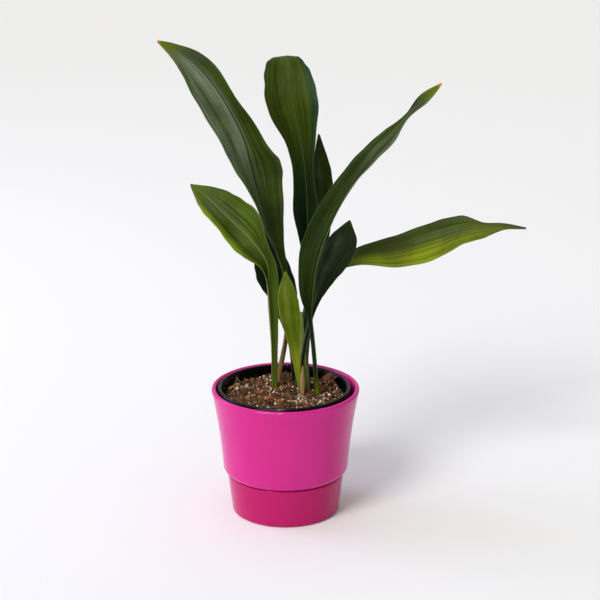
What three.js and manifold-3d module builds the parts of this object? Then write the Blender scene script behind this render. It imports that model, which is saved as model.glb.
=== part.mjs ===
// A cast iron plant (Aspidistra) in its black nursery pot, standing in a glazed pink cover pot.
// Millimetres, +Z up. The origin is the middle of the cover pot's foot, +X is to the viewer's
// right and -Y is the front.

import * as THREE from 'three';
import { mergeVertices } from 'three/addons/utils/BufferGeometryUtils.js';
import Module from 'manifold-3d';

const wasm = await Module();
wasm.setup();

// Cover pot
const POT_HEIGHT = 131.8;
const RIM_RADIUS = 75;
const LIP_ROUND = 2.4;
const POT_WALL = 2 * LIP_ROUND;
const POT_FLOOR = 8;
const FOOT_RADIUS = 55;
const FOOT_ROUND = 3;
const BAND_HEIGHT = 41.2;
const BAND_TOP_RADIUS = 59.5;
const SEAM_DEPTH = 1.5;
const SHOULDER_RADIUS = 63.9;
const SHOULDER_HEIGHT = 49.5;
const SHOULDER_ROUND = 8;
const WAIST_RADIUS = 66.7;
const WAIST_HEIGHT = 86;
const LIP_START = 124.8;
const POT_SIDES = 56;

// Nursery pot, a little to the left of the middle
const GAP = 0.3;
const NURSERY_X = -1.3;
const NURSERY_TOP = 132.5;
const NURSERY_RADIUS = 67.4;
const NURSERY_WALL = 1.2;
const NURSERY_LIP = 3;
const NURSERY_SKIRT = 7;
const NURSERY_ROLL = 2.2;
const NURSERY_FOOT_RADIUS = 42.5;
const NURSERY_FLOOR = 1.6;
const DRAIN_HOLES = 8;
const DRAIN_RADIUS = 4;
const DRAIN_CIRCLE = 31;
const NURSERY_SIDES = 48;

// Potting mix
const MIX_TOP = 121.5;
const MIX_SIDES = 48;
const MIX_RINGS = 13;
const MOUND_HEIGHT = 1.8;
const MOUND_REACH = 34;
const MOUND_X = 8;
const MOUND_Y = 12;
const FRONT_RISE = 1.5;
const LUMP_COUNT = 46;
const LUMP_REACH = 56;
const LUMP_SIZE = [3.5, 8];
const LUMP_HEIGHT = [0.8, 2.6];
const HOLE_RADIUS = 4.4;
const HOLE_SIDES = 14;
const HOLE_LENGTH = 60;

// Leaves
const BLADE_EDGE = 0.7;
const RIB_SPREAD = 1.8;
const RIB_TIP = 1;
const FOLD_ROUND = 1.2;
const LEAF_COLUMNS = 6;
const LEAF_STATIONS = 23;
const SHEATH_STATIONS = 7;
const COLUMN_CROWDING = 1.4;

// Each leaf is grown along its midrib from the foot in the mix to the tip. A knot holds the
// midrib's x, y and z, the way the upper face looks (turn about the vertical from the front
// towards the right, and lift above the level), the half widths left and right of the midrib
// and the angle by which each half of the blade is folded up from it. cup is the radius of the
// curve across the blade, and wave the height, the number and the phase of the ripples along
// its edges.
const LEAVES = {
  leaf_tall_left: {
    colour: 0x47603f, stalk: 3, cup: 90, wave: [1.6, 4, 0.1], knots: [
      [-6, 40, 101, 0, 0, 1.7, 1.7, 40], [-6, 40, 128, 0, 0, 1.7, 1.7, 40],
      [0, 38, 168, 10, 0, 1.8, 1.8, 45], [2, 36, 207, 20, 0, 2.2, 2.2, 50],
      [-1, 33, 240, 40, 0, 3.5, 3.5, 50], [-9, 28, 268, 46, 0, 7, 8, 45],
      [-19, 22, 297, 42, 5, 14, 16.5, 40], [-29, 12, 338, 36, 10, 25.5, 27.5, 34],
      [-34.5, 8, 363, 20, 11, 26, 30.5, 31], [-41, 3.5, 390, 2, 12, 26, 20, 28],
      [-60, -4, 430, -23, 10, 25, 26, 36], [-82, -9, 460, -16, 12, 20, 18.5, 30],
      [-104, -12, 478, -10, 16, 9.5, 6.5, 28], [-121, -14, 487, 0, 20, 0.8, 0.8, 20],
    ],
  },
  leaf_broad_back: {
    colour: 0x3c5410, stalk: 3.8, cup: 120, wave: [2, 5, 0.3], knots: [
      [23, 14, 101, 0, 0, 2.4, 2.4, 40], [23, 14, 126, 0, 0, 2.4, 2.4, 40],
      [20, 17, 170, 0, 0, 2.3, 2.3, 45], [22, 22, 228, 0, 0, 2.6, 2.6, 50],
      [23, 26, 269, 0, 0, 8.5, 7, 45], [22, 28, 310, 5, 0, 17.5, 11, 30],
      [20, 30, 346, 5, 5, 13.5, 8.5, 25], [16, 33, 376, 0, 10, 15.5, 15, 20],
      [9, 38, 412, -5, 20, 26, 26, 12], [5.5, 45, 436, -3, 38, 26.5, 25, 2],
      [4, 54, 450, 0, 58, 23, 21.5, -8], [3, 66, 456.5, 0, 76, 16, 15, -14],
      [2, 82, 453, 0, 96, 10.5, 10.5, -16], [1, 108, 438, 0, 110, 0.8, 0.8, -10],
    ],
  },
  leaf_twisted_right: {
    colour: 0x3a4f18, stalk: 3, cup: 70, wave: [1.2, 4, 0.6], knots: [
      [32, -3, 101, 0, 0, 1.7, 1.7, 40], [32, -3, 126, 0, 0, 1.7, 1.7, 40],
      [28, -4, 177, -10, 0, 1.7, 1.7, 45], [25, -5, 210, -20, 0, 3.2, 3.2, 50],
      [25, -6, 236, -30, 0, 11, 11, 45], [32, -8, 276, -40, 5, 16, 16, 42],
      [49, -10, 317, -48, 5, 17, 17, 42], [71, -14, 353, -55, 10, 14.5, 14, 40],
      [88, -18, 378, -56, 10, 12, 9, 18], [103, -21, 397, -50, 10, 8, 12, 22],
      [117, -24, 415, -40, 10, 3, 2.5, 35], [134, -28, 433, -20, 20, 6.5, 4, 20],
      [149, -30, 449, 0, 20, 0.8, 0.8, 10],
    ],
  },
  leaf_arching_right: {
    colour: 0x6c8420, stalk: 3, cup: 150, wave: [1.2, 4, 0.2], knots: [
      [12, 16, 101, 0, 0, 1.8, 1.8, 40], [12, 16, 126, 0, 0, 1.8, 1.8, 40],
      [15, 29, 169, 0, 0, 1.8, 1.8, 45], [23, 36, 210, -10, 10, 2.4, 2.4, 45],
      [39, 40, 238, -20, 35, 5, 5, 35], [73, 44, 255, -15, 50, 9, 13, 10],
      [109, 45, 261, -5, 55, 17, 21.5, 0], [148, 43, 273, 0, 50, 20.5, 24, -4],
      [179, 38, 284, 0, 50, 19, 15, -4], [199, 36, 288, 0, 50, 6.5, 13, 0],
      [220, 33, 290, 0, 50, 4, 4, 0], [242, 30, 289, 0, 50, 0.8, 0.8, 0],
    ],
  },
  leaf_dark_right: {
    colour: 0x1d2a1a, stalk: 3.2, cup: 60, wave: [0.8, 2, 0], knots: [
      [18, 4, 101, 0, 0, 1.7, 1.7, 40], [18, 4, 126, 0, 0, 1.7, 1.7, 40],
      [17, 5, 157, 0, 0, 1.7, 1.7, 45], [24, 8, 197, 10, 0, 2.2, 2.2, 45],
      [29, 12, 216, 15, 0, 4, 4, 30], [36, 15, 236, 15, 0, 9, 9, 20],
      [47, 19, 260, 15, 0, 16.5, 16.5, 12], [58, 24, 279, 10, 0, 15, 15, 8],
      [65, 29, 298, 5, 0, 0.8, 0.8, 5],
    ],
  },
  leaf_pale_left: {
    colour: 0x5d8030, stalk: 3.6, cup: 90, wave: [1.2, 3, 0.4], knots: [
      [-11, 16, 101, 0, 0, 2.3, 2.3, 40], [-11, 16, 126, 0, 0, 2.4, 2.4, 40],
      [-12.5, 14, 171, 16, 0, 3.6, 4.6, 55], [-15, 12, 210, 24, 0, 5, 8.5, 60],
      [-17, 12, 241, 24, 0, 6, 11, 58], [-20, 17, 262, -6, 8, 18, 16, 50],
      [-37, 32, 280, -8, 32, 25, 25, 28], [-58, 45, 297, 0, 48, 25, 24, 28],
      [-76, 57, 312, -10, 40, 15, 15, 18], [-96, 69, 325, -10, 30, 0.8, 0.8, 10],
    ],
  },
  leaf_rear: {
    colour: 0x3c4a14, stalk: 3.2, cup: 80, wave: [0.8, 2, 0.5], knots: [
      [20, 40, 101, 0, 0, 2.1, 2.1, 40], [20, 40, 126, 0, 0, 2.1, 2.1, 40],
      [24, 46, 179, 0, 0, 2.1, 2.1, 45], [31, 50, 231, 0, 0, 3, 3, 45], [38, 54, 278, 0, 0, 9, 8, 35],
      [39, 56, 314, 0, 0, 12, 11, 25], [37, 58, 345, 0, 0, 10, 9, 15],
      [34, 61, 379, 0, 0, 0.8, 0.8, 10],
    ],
  },
  leaf_young_front: {
    colour: 0x6f7c14, stalk: 3, cup: 30, wave: [0.5, 2, 0], knots: [
      [16, -3, 101, 0, 0, 1.5, 1.5, 40], [15.5, -3, 126, 0, 0, 1.5, 1.5, 40],
      [13, -4, 148, 0, 0, 3.2, 2.8, 45], [9.5, -6, 178, 0, 0, 7, 6.5, 40],
      [5, -10, 211, 0, 0, 12, 12, 28], [2, -12, 235, 0, 0, 10, 10, 22],
      [0, -12, 257, 0, 0, 0.8, 0.8, 15],
    ],
  },
  leaf_dark_left: {
    colour: 0x16241a, stalk: 3.2, cup: 70, wave: [0.8, 2, 0.3], knots: [
      [9, 33, 101, 0, 0, 2, 2, 40], [9, 33, 126, 0, 0, 2, 2, 40], [6, 42, 162, 0, 0, 3, 3, 45],
      [1, 53, 204, 0, 0, 17, 15, 35], [-8, 59, 238, 0, 0, 25, 15, 20], [-21, 64, 267, 0, 10, 14, 8, 15],
      [-38, 71, 297, 0, 15, 0.8, 0.8, 10],
    ],
  },
};

// The papery bracts that wrap the stalks where they leave the mix.
const SHEATHS = {
  sheath_green: {
    colour: 0x6d7f2a, stalk: 0.9, cup: 3.4, wave: [0, 1, 0], knots: [
      [21, 7.1, 108, 160, 0, 2.6, 2.6, 0], [21, 7.1, 128, 160, 0, 3.4, 3.4, 0],
      [17, 10.6, 165, 160, 0, 3.4, 3.4, 0], [15.5, 14.6, 190, 160, 0, 2.8, 2.8, 0],
      [16, 16.6, 206, 160, 0, 0.8, 0.8, 0],
    ],
  },
  sheath_dry: {
    colour: 0xb08a52, stalk: 0.9, cup: 3.2, wave: [0, 1, 0], knots: [
      [18, -8, 108, 180, 0, 1.5, 1.5, 0], [18, -8, 124, 180, 0, 1.9, 1.9, 0],
      [18.5, -7.5, 138, 180, 0, 2.4, 2.4, 0], [18.5, -6.5, 154, 180, 0, 0.6, 0.6, 0],
    ],
  },
  sheath_tan: {
    colour: 0x9c7a45, stalk: 0.9, cup: 3.4, wave: [0, 1, 0], knots: [
      [-7, 36, 108, 180, 0, 1.8, 1.8, 0], [-7, 36, 128, 180, 0, 2.2, 2.2, 0],
      [-3.5, 35, 150, 180, 0, 1.9, 1.9, 0], [-0.5, 34.5, 172, 180, 0, 0.6, 0.6, 0],
    ],
  },
};

// A repeatable draw between 0 and 1.
function seededDraw(seed) {
  let state = seed;
  return () => {
    state = (state * 1664525 + 1013904223) % 4294967296;
    return state / 4294967296;
  };
}

function geometryFrom(points, faces) {
  const geometry = new THREE.BufferGeometry();
  geometry.setAttribute('position', new THREE.Float32BufferAttribute(points.flat(), 3));
  geometry.setIndex(faces.flat());
  return geometry;
}

function solidFrom(geometry) {
  const bare = geometry.clone();
  bare.deleteAttribute('normal');
  bare.deleteAttribute('uv');
  const merged = mergeVertices(bare, 1e-4);
  const vertProperties = new Float32Array(merged.attributes.position.array);
  const triVerts = new Uint32Array(merged.index.array);
  return new wasm.Manifold(new wasm.Mesh({ numProp: 3, vertProperties, triVerts }));
}

function geometryOf(solid) {
  const mesh = solid.getMesh();
  const geometry = new THREE.BufferGeometry();
  geometry.setAttribute('position', new THREE.BufferAttribute(mesh.vertProperties, 3));
  geometry.setIndex(new THREE.BufferAttribute(mesh.triVerts, 1));
  return geometry;
}

function namedMesh(name, geometry, colour, roughness, flatShading = false) {
  geometry.computeVertexNormals();
  const material = new THREE.MeshStandardMaterial({ color: colour, roughness, metalness: 0, flatShading });
  const mesh = new THREE.Mesh(geometry, material);
  mesh.name = name;
  return mesh;
}

// A turned body whose closed outline is given in the order bottom, outside, top, inside.
function turned(outline, sides) {
  const lathe = new THREE.LatheGeometry(outline.map(([r, z]) => new THREE.Vector2(r, z)), sides);
  lathe.rotateX(Math.PI / 2);
  return lathe;
}

function arcPoints(centreR, centreZ, radius, from, to, steps) {
  return Array.from({ length: steps + 1 }, (_, i) => {
    const angle = THREE.MathUtils.degToRad(from + ((to - from) * i) / steps);
    return [centreR + radius * Math.cos(angle), centreZ + radius * Math.sin(angle)];
  });
}

function coverPot() {
  const footInset = FOOT_RADIUS - FOOT_ROUND;
  const seam = BAND_TOP_RADIUS - SEAM_DEPTH;
  const shoulderCentre = SHOULDER_RADIUS - SHOULDER_ROUND;
  const seamAngle = THREE.MathUtils.radToDeg(Math.acos((seam - shoulderCentre) / SHOULDER_ROUND));
  const lipRadius = RIM_RADIUS - LIP_ROUND;
  const wall = (inset, steps) => new THREE.QuadraticBezierCurve(
    new THREE.Vector2(SHOULDER_RADIUS - inset, SHOULDER_HEIGHT),
    new THREE.Vector2(WAIST_RADIUS - inset, WAIST_HEIGHT),
    new THREE.Vector2(RIM_RADIUS - 1 - inset, LIP_START),
  ).getPoints(steps).map((p) => [p.x, p.y]);
  const outline = [
    [0, 0], [footInset, 0],
    ...arcPoints(footInset, FOOT_ROUND, FOOT_ROUND, -60, 0, 3),
    [BAND_TOP_RADIUS, BAND_HEIGHT - 0.6], [BAND_TOP_RADIUS - 0.5, BAND_HEIGHT], [seam, BAND_HEIGHT],
    ...arcPoints(shoulderCentre, SHOULDER_HEIGHT, SHOULDER_ROUND, -seamAngle, -12, 5),
    ...wall(0, 4),
    ...arcPoints(lipRadius, POT_HEIGHT - LIP_ROUND, LIP_ROUND, 0, 180, 6),
    ...wall(POT_WALL, 2).reverse(),
    [FOOT_RADIUS - POT_WALL, POT_FLOOR + 4], [FOOT_RADIUS - POT_WALL - 4, POT_FLOOR],
    [0, POT_FLOOR],
  ];
  return turned(outline, POT_SIDES);
}

const nurseryBottom = POT_FLOOR + GAP;

// The inner radius of the nursery pot at height z.
function nurseryInside(z) {
  const share = (z - nurseryBottom) / (NURSERY_TOP - nurseryBottom);
  const mouth = NURSERY_RADIUS - NURSERY_LIP;
  return NURSERY_FOOT_RADIUS + (mouth - NURSERY_FOOT_RADIUS) * share - NURSERY_WALL;
}

function nurseryPot() {
  const mouth = NURSERY_RADIUS - NURSERY_LIP;
  const neck = NURSERY_TOP - NURSERY_SKIRT;
  const underRim = NURSERY_TOP - NURSERY_ROLL;
  const outside = (z) => nurseryInside(z) + NURSERY_WALL;
  const outline = [
    [0, nurseryBottom], [NURSERY_FOOT_RADIUS - 2, nurseryBottom],
    [outside(nurseryBottom + 2), nurseryBottom + 2], [outside(neck), neck],
    [outside(underRim), underRim], [NURSERY_RADIUS - NURSERY_WALL, underRim],
    [NURSERY_RADIUS - NURSERY_WALL - 0.2, neck], [NURSERY_RADIUS - 0.2, neck],
    [NURSERY_RADIUS, NURSERY_TOP - NURSERY_WALL], [NURSERY_RADIUS - 0.9, NURSERY_TOP],
    [mouth - NURSERY_WALL + 1, NURSERY_TOP], [mouth - NURSERY_WALL, NURSERY_TOP - 1],
    [nurseryInside(nurseryBottom + 4), nurseryBottom + 4],
    [nurseryInside(nurseryBottom) - 2.5, nurseryBottom + NURSERY_FLOOR],
    [0, nurseryBottom + NURSERY_FLOOR],
  ];
  let pot = solidFrom(turned(outline, NURSERY_SIDES));
  for (let i = 0; i < DRAIN_HOLES; i += 1) {
    const angle = (i * 2 * Math.PI) / DRAIN_HOLES;
    const drill = new THREE.CylinderGeometry(DRAIN_RADIUS, DRAIN_RADIUS, 8, 12);
    drill.rotateX(Math.PI / 2);
    drill.translate(DRAIN_CIRCLE * Math.cos(angle), DRAIN_CIRCLE * Math.sin(angle), nurseryBottom);
    pot = pot.subtract(solidFrom(drill));
  }
  return geometryOf(pot);
}

// The height of the mix at a point: level, rising to a mound round the stalks and towards the
// front, with lumps of bark standing out of it.
const lumpDraw = seededDraw(7);
const LUMPS = Array.from({ length: LUMP_COUNT }, () => {
  const angle = lumpDraw() * 2 * Math.PI;
  const reach = Math.sqrt(lumpDraw()) * LUMP_REACH;
  return {
    x: reach * Math.cos(angle), y: reach * Math.sin(angle),
    size: THREE.MathUtils.lerp(...LUMP_SIZE, lumpDraw()),
    height: THREE.MathUtils.lerp(...LUMP_HEIGHT, lumpDraw()),
  };
});

function mixHeight(x, y) {
  const mound = MOUND_HEIGHT * Math.exp(-(((x - MOUND_X) ** 2 + (y - MOUND_Y) ** 2) / MOUND_REACH ** 2));
  const front = FRONT_RISE * THREE.MathUtils.smoothstep(-y, 0, 55);
  const lumps = LUMPS.reduce(
    (sum, lump) => sum + lump.height * Math.exp(-(((x - lump.x) ** 2 + (y - lump.y) ** 2) / lump.size ** 2)),
    0,
  );
  return MIX_TOP + mound + front + lumps;
}

function pottingMix() {
  const bottom = nurseryBottom + NURSERY_FLOOR + GAP;
  const points = [];
  const faces = [];
  const ringRadii = Array.from({ length: MIX_RINGS }, (_, i) => (i + 1) / MIX_RINGS);
  const addRing = (place) => {
    for (let j = 0; j < MIX_SIDES; j += 1) {
      const angle = (j * 2 * Math.PI) / MIX_SIDES;
      points.push(place(Math.cos(angle), Math.sin(angle)));
    }
  };
  points.push([0, 0, mixHeight(0, 0)]);
  for (const share of ringRadii) {
    const radius = share * (nurseryInside(MIX_TOP) - 2 * GAP);
    addRing((c, s) => [radius * c, radius * s, mixHeight(radius * c, radius * s)]);
  }
  const foot = nurseryInside(nurseryBottom + 5) - 2 * GAP;
  addRing((c, s) => [foot * c, foot * s, nurseryBottom + 5]);
  const base = nurseryInside(nurseryBottom) - 5;
  addRing((c, s) => [base * c, base * s, bottom]);
  points.push([0, 0, bottom]);
  const rings = MIX_RINGS + 2;
  for (let j = 0; j < MIX_SIDES; j += 1) {
    const next = (j + 1) % MIX_SIDES;
    faces.push([0, 1 + j, 1 + next]);
    for (let ring = 0; ring < rings - 1; ring += 1) {
      const [a, b] = [1 + ring * MIX_SIDES + j, 1 + ring * MIX_SIDES + next];
      faces.push([a, a + MIX_SIDES, b + MIX_SIDES], [a, b + MIX_SIDES, b]);
    }
    const last = 1 + (rings - 1) * MIX_SIDES;
    faces.push([last + j, points.length - 1, last + next]);
  }
  let mix = solidFrom(geometryFrom(points, faces));
  for (const { knots } of [...Object.values(LEAVES), ...Object.values(SHEATHS)]) {
    const [x, y, z] = knots[0];
    const hole = new THREE.CylinderGeometry(HOLE_RADIUS, HOLE_RADIUS, HOLE_LENGTH, HOLE_SIDES);
    hole.rotateX(Math.PI / 2);
    hole.translate(x - NURSERY_X, y, z - GAP + HOLE_LENGTH / 2);
    mix = mix.subtract(solidFrom(hole));
  }
  return geometryOf(mix);
}

// One side of a leaf's section at u from -1 (left edge) to 1 (right edge): how far it lies
// across and above the midrib, the angle of its face there, and its thickness.
function sectionAt(u, half, fold, cup, rib) {
  const side = Math.sign(u);
  const out = Math.abs(u) ** COLUMN_CROWDING * half;
  const bend = out / cup;
  const lean = (fold * out) / (out + FOLD_ROUND);
  const [across, above] = [cup * Math.sin(bend), cup * (1 - Math.cos(bend))];
  return {
    across: side * (across * Math.cos(lean) - above * Math.sin(lean)),
    above: rib / 2 + across * Math.sin(lean) + above * Math.cos(lean),
    angle: side * (lean + bend),
    thickness: BLADE_EDGE + (rib - BLADE_EDGE) * Math.exp(-((out / RIB_SPREAD) ** 2)),
  };
}

function leaf({ stalk, cup, wave, knots }, stations = LEAF_STATIONS) {
  const curve = (pick) => new THREE.CatmullRomCurve3(
    knots.map((knot) => new THREE.Vector3(...pick(knot))), false, 'catmullrom', 0.5,
  );
  const midrib = curve((k) => [k[0], k[1], k[2]]);
  const aim = curve((k) => [k[3], k[4], 0]);
  const form = curve((k) => [k[5], k[6], k[7]]);
  const [waveHeight, waveCount, wavePhase] = wave;
  const columns = Array.from({ length: LEAF_COLUMNS + 1 }, (_, j) => (2 * j) / LEAF_COLUMNS - 1);
  const points = [];
  const faces = [];
  const loop = 2 * columns.length;

  for (let i = 0; i <= stations; i += 1) {
    const t = i / stations;
    const centre = midrib.getPoint(t);
    const along = midrib.getTangent(t);
    const { x: turn, y: lift } = aim.getPoint(t).multiplyScalar(THREE.MathUtils.DEG2RAD);
    const { x: halfLeft, y: halfRight, z: fold } = form.getPoint(t);
    const face = new THREE.Vector3(
      Math.sin(turn) * Math.cos(lift), -Math.cos(turn) * Math.cos(lift), Math.sin(lift),
    );
    face.addScaledVector(along, -face.dot(along)).normalize();
    const right = new THREE.Vector3().crossVectors(along, face);
    const rib = THREE.MathUtils.lerp(stalk, RIB_TIP, THREE.MathUtils.smoothstep(t, 0.25, 0.9));
    const ripple = waveHeight * Math.sin(Math.PI * t) ** 2;
    const sections = columns.map((u) => {
      const half = u < 0 ? halfLeft : halfRight;
      const section = sectionAt(u, half, THREE.MathUtils.degToRad(fold), cup, rib);
      const phase = 2 * Math.PI * (waveCount * t + wavePhase) + (u > 0 ? 2 : 0);
      section.above += ripple * Math.abs(u) ** 3 * Math.sin(phase) * Math.min(1, half / 20);
      return section;
    });
    const place = (across, above) => centre.clone()
      .addScaledVector(right, across).addScaledVector(face, above).toArray();
    for (const s of sections) points.push(place(s.across, s.above));
    for (const s of sections) {
      points.push(place(
        s.across + s.thickness * Math.sin(s.angle), s.above - s.thickness * Math.cos(s.angle),
      ));
    }
  }

  // The upper and the lower face are split along the same diagonals.
  const width = columns.length;
  for (let i = 0; i < stations; i += 1) {
    const [a, b] = [i * loop, (i + 1) * loop];
    for (let j = 0; j < width - 1; j += 1) {
      faces.push([a + j, a + j + 1, b + j + 1], [a + j, b + j + 1, b + j]);
      const [c, d] = [a + width + j, b + width + j];
      faces.push([c, d + 1, c + 1], [c, d, d + 1]);
    }
    faces.push([a, b, b + width], [a, b + width, a + width]);
    const [e, f] = [a + width - 1, b + width - 1];
    faces.push([e, f + width, f], [e, e + width, f + width]);
  }
  const end = stations * loop;
  for (let j = 0; j < width - 1; j += 1) {
    faces.push([j, j + width, j + width + 1], [j, j + width + 1, j + 1]);
    faces.push([end + j, end + j + 1, end + j + width + 1], [end + j, end + j + width + 1, end + j + width]);
  }
  return geometryFrom(points, faces);
}

const plant = new THREE.Group();
plant.add(namedMesh('cover_pot', coverPot(), 0xd43a8a, 0.2));

const nursery = new THREE.Group();
nursery.position.x = NURSERY_X;
nursery.add(namedMesh('nursery_pot', nurseryPot(), 0x17181a, 0.6));
nursery.add(namedMesh('potting_mix', pottingMix(), 0x5a3d2a, 0.95, true));
plant.add(nursery);

for (const [name, shape] of Object.entries(LEAVES)) {
  plant.add(namedMesh(name, leaf(shape), shape.colour, 0.4));
}
for (const [name, shape] of Object.entries(SHEATHS)) {
  plant.add(namedMesh(name, leaf(shape, SHEATH_STATIONS), shape.colour, 0.7));
}

export default plant;
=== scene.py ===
"""A cast iron plant in its black nursery pot, standing in a glazed pink cover pot.

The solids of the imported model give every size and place. This add-on gives each of them its finished
surface: slip-cast and glazed earthenware, moulded plastic, bark mix with perlite, leathery leaves with
their veins, and the papery bracts at their feet. Lengths in the tables and outlines are millimetres.
"""

import math
from functools import partial

import bmesh
import bpy
import numpy as np
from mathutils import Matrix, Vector, noise


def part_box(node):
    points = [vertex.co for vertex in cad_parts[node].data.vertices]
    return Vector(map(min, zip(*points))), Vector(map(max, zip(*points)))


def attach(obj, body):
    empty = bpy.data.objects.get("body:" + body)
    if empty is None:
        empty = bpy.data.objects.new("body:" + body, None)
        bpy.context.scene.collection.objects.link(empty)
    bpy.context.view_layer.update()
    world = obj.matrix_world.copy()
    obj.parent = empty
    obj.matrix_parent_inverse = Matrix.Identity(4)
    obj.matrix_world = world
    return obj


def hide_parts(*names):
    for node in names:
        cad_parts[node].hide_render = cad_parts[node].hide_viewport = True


bl_info = {
    "name": "Potted Cast Iron Plant",
    "version": (1, 0, 0),
    "blender": (4, 5, 0),
    "location": "View3D > Sidebar > Plant",
    "description": "Finishes the solid model of a potted cast iron plant",
    "category": "Add Mesh",
}

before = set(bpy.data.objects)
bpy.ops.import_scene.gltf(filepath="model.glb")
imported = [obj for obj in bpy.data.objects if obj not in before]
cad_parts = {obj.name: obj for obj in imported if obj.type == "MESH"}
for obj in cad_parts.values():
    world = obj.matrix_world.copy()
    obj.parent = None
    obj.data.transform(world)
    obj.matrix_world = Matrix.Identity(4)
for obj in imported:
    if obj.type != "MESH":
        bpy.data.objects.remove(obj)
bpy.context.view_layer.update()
MM = 0.001
BODY = "root"
GLOSSY = "glossy pots"

# Cover pot outline
RIM_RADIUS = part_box("cover_pot")[1].x / MM
POT_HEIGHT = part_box("cover_pot")[1].z / MM
LIP_ROUND = 2.4
POT_WALL = 2 * LIP_ROUND
POT_FLOOR = 8
FLOOR_FILLET = 6
FOOT_RADIUS = 55
FOOT_ROUND = 3
BAND_BELLY = (57.4, 22)
BAND_HEIGHT = 41.2
BAND_TOP_RADIUS = 59.5
BAND_EDGE = 0.7
SEAM_DEPTH = 1.5
SHOULDER_RADIUS = 63.9
SHOULDER_HEIGHT = 49.5
SHOULDER_ROUND = 8
WAIST_RADIUS = 66.7
WAIST_HEIGHT = 86
LIP_START = 124.8

# Nursery pot outline. The bead inside its mouth is given by depths below the rim and how far in it stands.
GAP = 0.3
NURSERY_X = (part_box("nursery_pot")[0].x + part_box("nursery_pot")[1].x) / 2 / MM
NURSERY_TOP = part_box("nursery_pot")[1].z / MM
NURSERY_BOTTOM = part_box("nursery_pot")[0].z / MM
NURSERY_RADIUS = 67.4
NURSERY_WALL = 1.2
NURSERY_LIP = 3
NURSERY_SKIRT = 7
NURSERY_ROLL = 2.6
NURSERY_BEAD = ((3, 0), (3.6, 0.35), (4.4, 0.35), (5, 0))
NURSERY_FOOT_RADIUS = 42.5
NURSERY_FLOOR = 1.6
DRAIN_HOLES = 8
DRAIN_RADIUS = 4
DRAIN_CIRCLE = 31

# Potting mix. Its edge stands MIX_PLAY off the nursery pot's wall, its side ends MIX_FOOT above the pot's
# underside, and what lies on it keeps MIX_MARGIN from the wall. The mound is given by its x, y, spread
# and height. The crumbs of the surface are waves of noise, each given by its width, its height and the
# layer of the noise that it is cut from.
MIX_TOP = 121.5
MIX_FOOT = 5
MIX_PLAY = 0.2
MIX_MARGIN = 2.2
MIX_SEED = 21
MIX_RINGS = 52
MIX_SIDES = 120
MOUND = (8, 12, 34, 1.8)
FRONT_RISE = 1.5
FRONT_REACH = 55
LUMP_SEED = 7
LUMP_COUNT = 46
LUMP_REACH = 56
LUMP_SIZE = (3.5, 8)
LUMP_HEIGHT = (0.8, 2.6)
SURFACE_CRUMBS = ((4, 1.2, 1), (1.6, 0.6, 5))

# Heaps of bark on the mix: x, y, spread and height
HEAPS = (
    (43, 29, 5.5, 7.5), (49, 33, 4, 4), (-18, 46, 6, 3.5), (4, 43, 6, 4.5), (-14, -20, 8, 2.6),
    (-51, 34, 4, 4),
)

# Where the perlite lies thick, x, y, spread and share, and the share that lies everywhere
PERLITE_DRIFTS = (
    (17, -24, 8, 0.8), (32, -16, 7, 0.6), (-44, 18, 10, 0.3), (-34, -6, 9, 0.2), (-4, 8, 14, 0.22),
    (50, 8, 9, 0.35), (42, 28, 6, 0.8), (-10, 40, 9, 0.16),
)
PERLITE_EVERYWHERE = 0.07

# Pieces of bark that stand out: x, y, length, width, thickness, turn, tilt, roll and tone
SLABS = (
    (-51, 37, 8, 6, 1.6, 20, -72, 10, 0.55), (-44, 23, 6, 3.6, 3, 35, 10, 0, 0.97),
    (-28, 33, 15, 3, 1.6, 62, -28, 15, 0.5), (-16, -20, 14, 7, 3.4, -14, 6, 12, 0.76),
    (-5, -24, 11, 5, 3, 25, -8, -10, 0.7), (43, 31, 12, 8, 6, 40, -20, 20, 0.58),
    (38, 27, 8, 5, 3, -30, 15, -25, 0.5), (8, 44, 11, 3.4, 2, -35, 20, 10, 0.62),
    (-22, 4, 9, 3.4, 1.8, 70, 5, 10, 0.6), (26, 2, 8, 3, 1.6, 15, 8, 0, 0.45),
    (-38, -16, 9, 3.6, 1.8, -50, 4, 12, 0.64), (46, -6, 8, 3.4, 1.6, 80, 6, -8, 0.55),
)

# Radius of a coir fibre from one end to the other, and the places that the twig runs through
FIBRE_RADII = (0.12, 0.2, 0.24, 0.24, 0.22, 0.18, 0.1)
TWIG_PLACES = ((33, 1, 124.5), (39, 9, 127.5), (45, 18, 129.5), (51, 28, 130.5), (57.5, 39, 130))

# Leaf section. The midrib thins between two shares of the length. Ripples and pleats have their full
# height where a half is at least BROAD_HALF wide. A blade's edge wanders in and out by a share of the
# half width, in so many swings from foot to tip. The right half's wander (in turns) and ripples (in
# radians) run ahead of the left half's.
BLADE_EDGE = 0.7
RIB_SPREAD = 1.8
RIB_TIP = 1
RIB_THINS = (0.25, 0.9)
FOLD_ROUND = 1.2
COLUMN_CROWDING = 1.4
BROAD_HALF = 20
PLEATS_A_HALF = 4.5
EDGE_WANDER = ((0.018, 6.3), (0.014, 14.7))
WANDER_AHEAD = 0.4
RIPPLE_AHEAD = 2

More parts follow.
